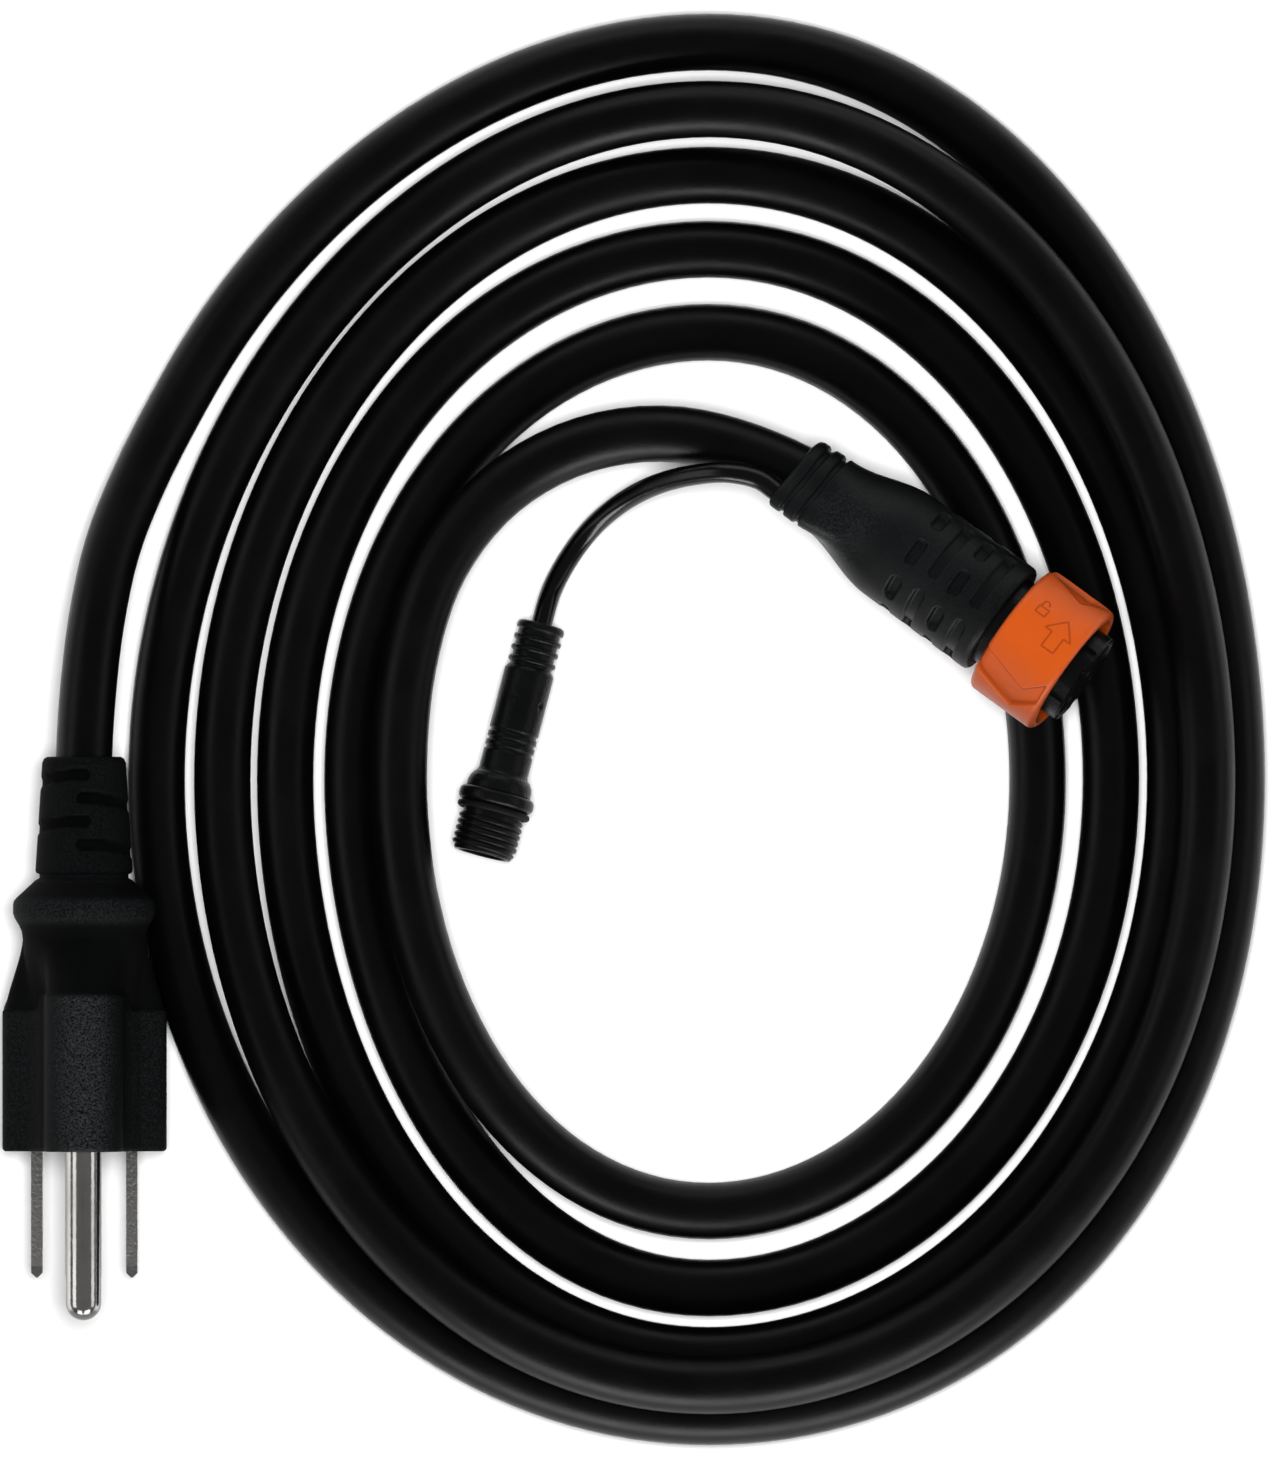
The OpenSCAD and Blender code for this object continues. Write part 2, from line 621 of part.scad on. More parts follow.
module small_plus_socket() {
    small_contact(1);
}

module small_minus_socket() {
    small_contact(-1);
}

module small_wire(side) {
    small_frame() tube([[0, side * 0.65, small_lead_depth], [0, side * 0.65, 9],
        [0, side * small_offset, 17], [0, side * small_offset, 21]], small_wire_r, 6, [1, 0, 0]);
}

module small_plus_wire() {
    color([0.45, 0.2, 0.6]) small_wire(1);
}

module small_minus_wire() {
    color([0.6, 0.6, 0.6]) small_wire(-1);
}

plug_body();
blade_bridge();
line_blade();
neutral_blade();
ground_pin();
plug_line_wire();
plug_neutral_wire();
plug_ground_wire();
plug_lead();
cord_coil();
connector_tail();
connector_grip();
contact_housing();
lock_ring();
face_seal();
line_socket();
neutral_socket();
ground_socket();
signal_plus_socket();
signal_minus_socket();
line_wire();
neutral_wire();
ground_wire();
signal_plus_wire();
signal_minus_wire();
signal_lead();
signal_grip();
signal_shell();
signal_insert();
signal_o_ring();
small_plus_socket();
small_minus_socket();
small_plus_wire();
small_minus_wire();
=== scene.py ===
"""Dresses the coiled power cord: cords, moulded ends, lock ring, thread and their finishes."""

import json
import math

import bmesh
import bpy
from bpy.props import FloatProperty, FloatVectorProperty, PointerProperty
from bpy.types import Operator, Panel, PropertyGroup
from mathutils import Matrix, Vector


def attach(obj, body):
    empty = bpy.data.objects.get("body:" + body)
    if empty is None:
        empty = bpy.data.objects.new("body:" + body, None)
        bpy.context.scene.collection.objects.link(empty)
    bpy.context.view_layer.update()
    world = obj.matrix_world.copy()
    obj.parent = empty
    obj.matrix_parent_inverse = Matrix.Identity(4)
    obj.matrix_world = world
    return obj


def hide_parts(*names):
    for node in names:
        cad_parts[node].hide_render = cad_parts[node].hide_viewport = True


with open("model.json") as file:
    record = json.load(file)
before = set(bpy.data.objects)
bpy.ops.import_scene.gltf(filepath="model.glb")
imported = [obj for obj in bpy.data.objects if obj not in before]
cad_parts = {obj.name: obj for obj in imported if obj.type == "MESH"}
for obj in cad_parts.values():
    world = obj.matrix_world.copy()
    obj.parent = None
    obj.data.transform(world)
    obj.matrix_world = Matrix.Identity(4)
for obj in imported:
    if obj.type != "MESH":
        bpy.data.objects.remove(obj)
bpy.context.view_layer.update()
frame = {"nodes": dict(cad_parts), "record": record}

bl_info = {
    "name": "Power cord with lock connector",
    "version": (1, 0, 0),
    "blender": (4, 5, 0),
    "location": "View3D > Sidebar > Power cord",
    "description": "Cords, moulded ends and finishes of a coiled power cord",
    "category": "Object",
}

MM = 0.001
CORD_SET = "cord_set"
LOCK_RING = "lock_ring"
BLADES = ("line_blade", "neutral_blade")

# Route of the cords, in millimetres, as in the part's source
COIL_CENTRE = (10.1, -6.55)
REACH_LEFT = (83.4, 73.8, 65.0, 56.6, 47.6, 41.4)
REACH_TOP = (98.6, 89.6, 80.8, 70.9, 59.8)
REACH_RIGHT = (70.6, 66.6, 62.4, 53.8, 44.0)
REACH_BOTTOM = (85.2, 81.0, 77.0, 68.0, 57.7)
COIL_START = 36.0
COIL_END = 1800.0
COIL_STEP = 6.0
CORD_SPACING = 2.4
LEAD_SPACING = 0.8
PILE_HEIGHT = 7.05
PILE_ANGLES = (396.0, 516.0, 638.0, 756.0)
LAST_RISE = 5.6
LAST_RISE_ANGLES = (1700.0, 1785.0)
PLUG_REAR = Vector((-73.3, -3.5, 11.5))
CORD_DEPTH = 10.5
CONNECTOR_REAR = Vector((22.0, 34.5, 12.0))
CONNECTOR_TURN = -36.0
CONNECTOR_TILT = 8.0
TAIL_DEPTH = 9.0
LEAD_EXIT = (5.0, 3.8)
LEAD_DEPTH = 5.0
SMALL_REAR = Vector((-12.2, 14.2, 3.4))
SMALL_TURN = -104.5
SMALL_TILT = 4.25

# The photograph, taken from straight above
IMAGE_HEIGHT = 1464
PIXELS_PER_MM = 7.48
IMAGE_CENTRE = Vector((0.94, -0.2, 0.0))
CAMERA_HEIGHT = 6.0
SCALE_HEIGHT = 5 * MM
SENSOR = 36.0


def clamp(value, side_shade=0.0, high=1.0):
    return max(side_shade, min(high, value))


def mix(a, b, u):
    return a + (b - a) * u


def ease(u):
    return (1 - math.cos(math.pi * clamp(u))) / 2


def step(value, edge, width):
    """0 below the edge and 1 above it, eased over the width."""
    return ease((value - edge) / width + 0.5)


class CordSettings(PropertyGroup):
    """Sizes and colour of the two cords"""

    cord_diameter: FloatProperty(
        name="Cord diameter", description="Outside of the mains cord's jacket",
        default=7.6 * MM, min=0.007, max=0.008, unit="LENGTH",
    )
    lead_diameter: FloatProperty(
        name="Lead diameter", description="Outside of the signal lead's jacket",
        default=2.8 * MM, min=0.0024, max=0.003, unit="LENGTH",
    )
    jacket_colour: FloatVectorProperty(
        name="Jacket colour", description="Colour of the soft cord jacket",
        default=(0.0006, 0.0006, 0.0007), subtype="COLOR", min=0, max=1,
    )


class MouldingSettings(PropertyGroup):
    """Colours of the moulded ends"""

    moulding_colour: FloatVectorProperty(
        name="Moulding colour", description="Colour of the soft moulded grips and the plug",
        default=(0.0017, 0.0019, 0.002), subtype="COLOR", min=0, max=1,
    )
    housing_colour: FloatVectorProperty(
        name="Housing colour", description="Colour of the rigid housings",
        default=(0.0018, 0.0019, 0.002), subtype="COLOR", min=0, max=1,
    )
    ring_colour: FloatVectorProperty(
        name="Ring colour", description="Colour of the lock ring",
        default=(0.5, 0.074, 0.006), subtype="COLOR", min=0, max=1,
    )
    plating_colour: FloatVectorProperty(
        name="Plating colour", description="Colour of the plated prongs",
        default=(0.62, 0.61, 0.59), subtype="COLOR", min=0, max=1,
    )


class StageSettings(PropertyGroup):
    """Floor and light"""

    floor_colour: FloatVectorProperty(
        name="Floor colour", description="Colour of the plain floor",
        default=(0.93, 0.93, 0.93), subtype="COLOR", min=0, max=1,
    )
    light_power: FloatProperty(
        name="Light power", description="Power that each soft light has a share of",
        default=4.2, min=0, unit="POWER",
    )


# Frames of the three moulded ends, from millimetres to the frame's metres


def placed(origin, x_axis, y_axis, z_axis):
    columns = Matrix((x_axis, y_axis, z_axis)).transposed().to_4x4()
    return Matrix.Scale(MM, 4) @ Matrix.Translation(origin) @ columns


def lying_frame(origin, turn, tilt):
    """Local X is up, local Y to the right of the heading and local Z along the piece."""
    t, a = math.radians(tilt), math.radians(turn)
    along = Vector((math.cos(t) * math.cos(a), math.cos(t) * math.sin(a), math.sin(t)))
    upward = Vector((-math.sin(t) * math.cos(a), -math.sin(t) * math.sin(a), math.cos(t)))
    right = Vector((math.sin(a), -math.cos(a), 0))
    return placed(origin, upward, right, along)


PLUG_FRAME = placed(PLUG_REAR, Vector((1, 0, 0)), Vector((0, 0, 1)), Vector((0, -1, 0)))
CONNECTOR_FRAME = lying_frame(CONNECTOR_REAR, CONNECTOR_TURN, CONNECTOR_TILT)
SMALL_FRAME = lying_frame(SMALL_REAR, SMALL_TURN, SMALL_TILT)


def at(place, x, y, z):
    """A local point of an end, in millimetres of the whole part."""
    return (place @ Vector((x, y, z))) / MM


def heading(place):
    """Direction of an end's local Z."""
    return (place.to_3x3() @ Vector((0, 0, 1))).normalized()


# Routes


def vectors(*places):
    return [Vector(place) for place in places]


def reach_at(first_side, second_side, half_turns):
    """Reach of the coil after so many half turns, eased from one side's reading to the other side's."""
    readings = [reading for pair in zip(first_side, second_side) for reading in pair]
    readings += first_side[len(second_side):]
    last = len(readings) - 1
    h = math.floor(half_turns)
    near = readings[int(clamp(h, 0, last))]
    far = readings[int(clamp(h + 1, 0, last))]
    return mix(near, far, ease(half_turns - h))


def rise(angle, start, end):
    return ease((angle - start) / (end - start))


def turn_point(angle, floor):
    """A point of the coil: angles run on from turn to turn, clockwise from the left, from outside in."""
    a = math.radians(angle)
    x = COIL_CENTRE[0] - reach_at(REACH_LEFT, REACH_RIGHT, angle / 180) * math.cos(a)
    y = COIL_CENTRE[1] + reach_at(REACH_TOP, REACH_BOTTOM, (angle - 90) / 180) * math.sin(a)
    piled = rise(angle, *PILE_ANGLES[:2]) * (1 - rise(angle, *PILE_ANGLES[2:]))
    return Vector((x, y, floor + PILE_HEIGHT * piled + LAST_RISE * rise(angle, *LAST_RISE_ANGLES)))


def smooth_line(points, spacing):
    """Even points along a smooth curve through the given ones."""
    line = []
    for i in range(len(points) - 1):
        p1, p2 = points[i], points[i + 1]
        p0 = points[i - 1] if i > 0 else p1 * 2 - p2
        p3 = points[i + 2] if i + 2 < len(points) else p2 * 2 - p1
        k0, k1, k2 = ((q - p).length ** 0.5 for p, q in ((p0, p1), (p1, p2), (p2, p3)))
        t1 = (p1 - p0) / k0 - (p2 - p0) / (k0 + k1) + (p2 - p1) / k1
        t2 = (p2 - p1) / k1 - (p3 - p1) / (k1 + k2) + (p3 - p2) / k2
        pieces = max(1, round((p2 - p1).length / spacing))
        for j in range(pieces):
            u = j / pieces
            cubic = 2 * u**3 - 3 * u**2
            line.append(
                p1 * (cubic + 1) + t1 * k1 * (u**3 - 2 * u**2 + u)
                - p2 * cubic + t2 * k1 * (u**3 - u**2)
            )
    line.append(points[-1].copy())
    return line


def line_length(line):
    return sum((q - p).length for p, q in zip(line, line[1:]))


def mains_route(diameter):
    """From inside the lock connector, round the coil from the inside out, into the plug."""
    floor = diameter / 2
    tail = [CONNECTOR_REAR + heading(CONNECTOR_FRAME) * TAIL_DEPTH, CONNECTOR_REAR]
    tail += vectors(
        (6.5, 39.5, 10.0), (-6.5, 38.2, 8.8), (-17.7, 32.1, 8.6), (-25.7, 22.1, 9.1), (-30, 8.8, 9.7),
    )
    tail.append(turn_point(COIL_END, floor))
    turns = []
    angle = COIL_END - 2 * COIL_STEP
    while angle > COIL_START:
        turns.append(turn_point(angle, floor))
        angle -= COIL_STEP
    lead = vectors(
        (-55.8, 52.3, floor), (-60.1, 45.1, floor), (-66.0, 33.6, 5.5), (-69.6, 24.3, 7.8),
        (-71.7, 14.4, 10.1), (-72.8, 4.8, 11.3),
    )
    lead += [PLUG_REAR, PLUG_REAR - Vector((0, CORD_DEPTH, 0))]
    return smooth_line(tail + turns + lead, CORD_SPACING)


def signal_route(diameter):
    """From inside the lock connector to inside the small connector."""
    start = at(CONNECTOR_FRAME, *LEAD_EXIT, 0)
    axis = heading(CONNECTOR_FRAME)
    small_axis = heading(SMALL_FRAME)
    points = [start + axis * LEAD_DEPTH, start, start - axis * diameter]
    points += vectors(
        (12.8, 34.4, 15.9), (7.5, 34, 13.1), (2.5, 32.6, 9.4), (-1.9, 30.2, 5.6),
        (-5.5, 27.1, 2.8), (-8.5, 23.2, 1.7), (-10.6, 19.4, 2.1),
    )
    points += [SMALL_REAR - small_axis * diameter, SMALL_REAR, SMALL_REAR + small_axis * LEAD_DEPTH]
    return smooth_line(points, LEAD_SPACING)


# Node trees

FLOAT = "NodeSocketFloat"
INTEGER = "NodeSocketInt"
VECTOR = "NodeSocketVector"
COLOUR = "NodeSocketColor"
MATERIAL = "NodeSocketMaterial"
GEOMETRY = "NodeSocketGeometry"


def fill_sockets(tree, node, sockets):
    """Gives each input its value, or a link where the value is an output of another node."""
    for name, value in sockets.items():
        if isinstance(value, bpy.types.NodeSocket):
            tree.links.new(value, node.inputs[name])
        else:
            node.inputs[name].default_value = value


def add_node(tree, kind, sockets, **settings):
    """Adds a node with its settings and inputs, and returns its outputs."""
    node = tree.nodes.new(kind)
    for name, value in settings.items():
        setattr(node, name, value)
    fill_sockets(tree, node, sockets)
    return node.outputs


def add_range(tree, value, **limits):
    """Maps a value from one range to another. A limit is from_min, from_max, to_min or to_max."""
    sockets = {name.replace("_", " ").title(): limit for name, limit in limits.items()}
    return add_node(tree, "ShaderNodeMapRange", {"Value": value, **sockets})["Result"]


def add_math(tree, operation, *values):
    """A calculation on values, each of them a number or an output of another node."""
    return add_node(tree, "ShaderNodeMath", dict(enumerate(values)), operation=operation)["Value"]


def new_tree(kind, name, inputs, outputs):
    """A tree with named inputs and outputs, given as {name: kind of socket}. Returns it and its inputs."""
    tree = bpy.data.node_groups.new(name, kind)
    for side, sockets in (("INPUT", inputs), ("OUTPUT", outputs)):
        for label, socket_kind in sockets.items():
            tree.interface.new_socket(name=label, in_out=side, socket_type=socket_kind)
    return tree, add_node(tree, "NodeGroupInput", {})


# Finishes


def grain_group():
    """Fine skin of a moulded surface: a normal, and a mask of the raised specks where the finishes paint
    highlights.
    """
    inputs = {"Grain Scale": FLOAT, "Grain Depth": FLOAT, "Wave Scale": FLOAT, "Texture": FLOAT}
    outputs = {"Normal": VECTOR, "Speck Highlights": FLOAT}
    tree, given = new_tree("ShaderNodeTree", "moulded_grain", inputs, outputs)
    place = add_node(tree, "ShaderNodeTexCoord", {})["Object"]
    fine_sockets = {"Vector": place, "Scale": given["Grain Scale"], "Detail": 3}
    fine = add_node(tree, "ShaderNodeTexNoise", fine_sockets)["Fac"]
    broad_sockets = {"Vector": place, "Scale": given["Wave Scale"], "Detail": 4}
    broad = add_node(tree, "ShaderNodeTexNoise", broad_sockets)["Fac"]
    both = add_math(tree, "MULTIPLY_ADD", broad, 0.35, fine)
    height = add_math(tree, "MULTIPLY", both, given["Texture"])
    bump_sockets = {"Height": height, "Strength": given["Grain Depth"], "Distance": 0.2 * MM}
    normal = add_node(tree, "ShaderNodeBump", bump_sockets)["Normal"]
    raised = add_range(tree, fine, from_min=0.36, from_max=0.76)
    specks = add_math(tree, "MULTIPLY", raised, given["Texture"])
    add_node(tree, "NodeGroupOutput", {"Normal": normal, "Speck Highlights": specks})


def handling_group():
    """Patches of handling: a colour between two shades and a roughness between two values."""
    inputs = {
        "Base": COLOUR,
        "Worn": COLOUR,
        "Low Roughness": FLOAT,
        "High Roughness": FLOAT,
        "Patch Scale": FLOAT,
    }
    outputs = {"Color": COLOUR, "Roughness": FLOAT}
    tree, given = new_tree("ShaderNodeTree", "handling_marks", inputs, outputs)
    place = add_node(tree, "ShaderNodeTexCoord", {})["Object"]
    noise_sockets = {"Vector": place, "Scale": given["Patch Scale"], "Detail": 6, "Roughness": 0.6}
    patches = add_node(tree, "ShaderNodeTexNoise", noise_sockets)["Fac"]
    spread_sockets = {"Value": patches, "From Min": 0.35, "From Max": 0.7}
    spread = add_node(tree, "ShaderNodeMapRange", spread_sockets, interpolation_type="SMOOTHSTEP")["Result"]
    blend_sockets = {"Factor": spread, "A": given["Base"], "B": given["Worn"]}
    blend = add_node(tree, "ShaderNodeMix", blend_sockets, data_type="RGBA")["Result"]
    gloss = add_range(tree, spread, to_min=given["Low Roughness"], to_max=given["High Roughness"])
    add_node(tree, "NodeGroupOutput", {"Color": blend, "Roughness": gloss})


def fill_shader(material, sockets):
    """Gives the inputs of a material's shader their values or links."""
    tree = material.node_tree
    fill_sockets(tree, tree.nodes["Principled BSDF"], sockets)


def finish_material(name, colour, worn, roughness, grain, metallic=0.0, specular=0.5, patch_scale=90.0):
    """A finish from the two shared groups. grain is (scale, depth, wave scale)."""
    material = bpy.data.materials.new(name)
    material.use_nodes = True
    material.diffuse_color = (*colour, 1)
    tree = material.node_tree
    groups = bpy.data.node_groups
    skin_sockets = dict(zip(("Grain Scale", "Grain Depth", "Wave Scale"), grain))
    skin_sockets["Texture"] = 1.0
    skin = add_node(tree, "ShaderNodeGroup", skin_sockets, name="skin", node_tree=groups["moulded_grain"])
    mark_sockets = {
        "Base": (*colour, 1),
        "Worn": (*worn, 1),
        "Low Roughness": roughness[0],
        "High Roughness": roughness[1],
        "Patch Scale": patch_scale,
    }
    marks = add_node(tree, "ShaderNodeGroup", mark_sockets, name="marks", node_tree=groups["handling_marks"])
    fill_shader(material, {"Metallic": metallic, "Specular IOR Level": specular, "Normal": skin["Normal"]})
    fill_shader(material, {"Base Color": marks["Color"], "Roughness": marks["Roughness"]})
    return material


def tint(material, colour, share):
    """Blends a colour over the handling marks. share is the output that says how much of it."""
    tree = material.node_tree
    marks = tree.nodes["marks"].outputs["Color"]
    blend_sockets = {"Factor": share, "A": marks, "B": (*colour, 1)}
    blend = add_node(tree, "ShaderNodeMix", blend_sockets, data_type="RGBA")["Result"]
    fill_shader(material, {"Base Color": blend})


def texture_of_piece(tree):
    """The texture attribute that round_skin keeps on a piece's points."""
    return add_node(tree, "ShaderNodeAttribute", {}, attribute_name="texture")["Fac"]


def paint_speck_highlights(material, colour, roughness):
    """Lets a piece's texture attribute say where the grain is deep, and paints lighter specks there as
    highlights on the raised grain.

    roughness is that of the plain skin and of the grained one.
    """
    tree = material.node_tree
    skin = tree.nodes["skin"]
    texture = texture_of_piece(tree)
    fill_sockets(tree, skin, {"Texture": texture})
    fill_shader(material, {"Roughness": add_range(tree, texture, to_min=roughness[0], to_max=roughness[1])})
    tint(material, colour, skin.outputs["Speck Highlights"])


def paint_shade(material, colour):
    """Paints shade, a darker colour, where a piece's texture attribute says."""
    tint(material, colour, texture_of_piece(material.node_tree))


def paint_end_shade(material, colour, shade_sides=False):
    """Paints shade on the faces at the end of a prong, and on the pin on the sides and the underside as
    well.

    The faces are told apart by where they look: those of the end to -Y, those of the sides away from +Z.
    """
    tree = material.node_tree
    normal = add_node(tree, "ShaderNodeTexCoord", {})["Normal"]
    facing = add_node(tree, "ShaderNodeSeparateXYZ", {"Vector": normal})
    # Painted shade on the faces that look to -Y, at the prong's end
    painted_shade = add_range(tree, facing["Y"], from_min=-0.3, from_max=-0.5)
    if shade_sides:
        # Painted shade on the pin's sides and underside
        side_shade = add_range(tree, facing["Z"], from_min=0.62, from_max=0.3)
        painted_shade = add_math(tree, "MAXIMUM", painted_shade, side_shade)
    tint(material, colour, painted_shade)


def shade_of(colour, share):
    """The colour made darker or lighter by a share of it."""
    return tuple(clamp(c * share) for c in colour)


# Geometry trees for what repeats or follows a path


def growing_tree(name, inputs):
    """Geometry tree with named inputs and a finish. Returns it and its inputs."""
    all_inputs = {"Geometry": GEOMETRY, **inputs, "Finish": MATERIAL}
    return new_tree("GeometryNodeTree", name, all_inputs, {"Geometry": GEOMETRY})


def finish_tree(tree, given, grown):
    """Ends a tree in realized, smooth geometry with its material."""
    real = add_node(tree, "GeometryNodeRealizeInstances", {"Geometry": grown})["Geometry"]
    smooth = add_node(tree, "GeometryNodeSetShadeSmooth", {"Geometry": real})["Geometry"]
    painted = add_node(tree, "GeometryNodeSetMaterial", {"Geometry": smooth, "Material": given["Finish"]})
    add_node(tree, "NodeGroupOutput", {"Geometry": painted["Geometry"]})
    return tree


def add_circle(tree, radius, resolution):
    sockets = {"Radius": radius, "Resolution": resolution}
    return add_node(tree, "GeometryNodeCurvePrimitiveCircle", sockets)["Curve"]


def add_sweep(tree, curve, profile, more):
    """A profile swept along a curve. more holds further inputs."""
    sockets = {"Curve": curve, "Profile Curve": profile, **more}
    return add_node(tree, "GeometryNodeCurveToMesh", sockets)["Mesh"]


def grown_mesh(name, source, tree, values):
    """Runs a tree on a source object and returns the plain mesh that comes out."""
    holder = bpy.data.objects.new(f"{name}_source", source)
    bpy.context.scene.collection.objects.link(holder)
    modifier = holder.modifiers.new("grow", "NODES")
    modifier.node_group = tree
    for item in tree.interface.items_tree:
        if item.in_out == "INPUT" and item.name in values:
            modifier[item.identifier] = values[item.name]
    evaluated = holder.evaluated_get(bpy.context.evaluated_depsgraph_get())
    mesh = bpy.data.meshes.new_from_object(evaluated)
    mesh.name = name
    holder.modifiers.remove(modifier)
    bpy.data.objects.remove(holder)
    return mesh


def bead_tree():
    """A round bead along every line of the source curve."""
    tree, given = growing_tree("bead_along_lines", {"Bead Radius": FLOAT})
    profile = add_circle(tree, given["Bead Radius"], 10)
    bead = add_sweep(tree, given["Geometry"], profile, {"Fill Caps": True})
    return finish_tree(tree, given, bead)


def thread_tree():
    """A screw thread: a round ridge along a rising spiral, thin at both ends."""
    inputs = {"Root Radius": FLOAT, "Ridge Radius": FLOAT, "Turns": FLOAT, "Height": FLOAT}
    tree, given = growing_tree("screw_thread", inputs)
    spiral_sockets = {
        "Resolution": 64,
        "Rotations": given["Turns"],
        "Start Radius": given["Root Radius"],
        "End Radius": given["Root Radius"],
        "Height": given["Height"],
    }
    spiral = add_node(tree, "GeometryNodeCurveSpiral", spiral_sockets)["Curve"]
    profile = add_circle(tree, given["Ridge Radius"], 10)
    along = add_node(tree, "GeometryNodeSplineParameter", {})["Factor"]
    from_end = add_math(tree, "PINGPONG", along, 0.5)
    grow = add_range(tree, from_end, from_max=0.06, to_min=0.05)
    ridge = add_sweep(tree, spiral, profile, {"Fill Caps": True, "Scale": grow})
    return finish_tree(tree, given, ridge)


def rib_tree():
    """A row of round ribs of one size along local Z."""
    inputs = {"Row Radius": FLOAT, "Rib Radius": FLOAT, "Count": INTEGER, "First": VECTOR, "Pitch": VECTOR}
    tree, given = growing_tree("rib_row", inputs)
    circle = add_circle(tree, given["Row Radius"], 72)
    profile = add_circle(tree, given["Rib Radius"], 12)
    rib = add_sweep(tree, circle, profile, {})
    row_sockets = {"Count": given["Count"], "Start Location": given["First"], "Offset": given["Pitch"]}
    row = add_node(tree, "GeometryNodeMeshLine", row_sockets)["Mesh"]
    copies = add_node(tree, "GeometryNodeInstanceOnPoints", {"Points": row, "Instance": rib})
    return finish_tree(tree, given, copies["Instances"])


# Meshes


def put_piece(name, data, body, slot, finish, *replaced):
    """Links a finished piece at the origin, lets it ride on its body and hides the solids it replaces."""
    piece = bpy.data.objects.new(name, data)
    bpy.context.scene.collection.objects.link(piece)
    data.materials.clear()
    data.materials.append(bpy.data.materials[finish])
    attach(piece, body)
    if replaced:
        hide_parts(*replaced)
    return piece


def round_skin(name, place, loop, around, dent, texture=None):
    """Closed skin of revolution round local Z: loop is (radius, height) pairs, dent takes the radius in.

    texture gives a value from 0 to 1, which is kept as an attribute of the points for the finish to read.
    """
    mesh = bpy.data.meshes.new(name)
    shape = bmesh.new()
    rings = []
    values = []
    for radius, height in loop:
        ring = []
        for k in range(around):
            angle = 2 * math.pi * k / around
            depth = dent(radius, height, angle)
            r = radius - depth
            ring.append(shape.verts.new(place @ Vector((r * math.cos(angle), r * math.sin(angle), height))))
            values.append(texture(height, angle, depth) if texture else 0.0)
        rings.append(ring)
    for i, ring in enumerate(rings):
        after = rings[(i + 1) % len(rings)]
        for k in range(around):
            m = (k + 1) % around
            shape.faces.new((ring[k], ring[m], after[m], after[k]))
    bmesh.ops.recalc_face_normals(shape, faces=shape.faces)
    for face in shape.faces:
        face.smooth = True
    shape.to_mesh(mesh)
    shape.free()
    if texture:
        mesh.attributes.new("texture", "FLOAT", "POINT").data.foreach_set("value", values)
    return mesh


def fine_loop(corners, spacing):
    """The corners of a closed profile with points set between them."""
    loop = []
    for i, (r0, z0) in enumerate(corners):
        r1, z1 = corners[(i + 1) % len(corners)]
        pieces = max(1, math.ceil(math.hypot(r1 - r0, z1 - z0) / spacing))
        for j in range(pieces):
            loop.append((mix(r0, r1, j / pieces), mix(z0, z1, j / pieces)))
    return loop


def no_dent(radius, height, angle):
    return 0.0


def turn_between(angle, centre):
    """Signed angle from the centre, in degrees."""
    return (math.degrees(angle) - centre + 180) % 360 - 180


def line_curve(name, lines):
    """Curve of straight pieces through lines of (points, closed)."""
    curve = bpy.data.curves.new(name, "CURVE")
    curve.dimensions = "3D"
    for points, closed in lines:
        spline = curve.splines.new("POLY")
        spline.points.add(len(points) - 1)
        for point, place in zip(spline.points, points):
            point.co = (*place, 1)
        spline.use_cyclic_u = closed
    return curve


def put_cord(name, line, diameter, finish, *replaced):
    """Round cord along a line of points in millimetres."""
    curve = line_curve(name, [([place * MM for place in line], False)])
    curve.bevel_depth = diameter / 2
    curve.bevel_resolution = 8
    curve.use_fill_caps = True
    return put_piece(name, curve, CORD_SET, "cord_jacket", finish, *replaced)


# Operators


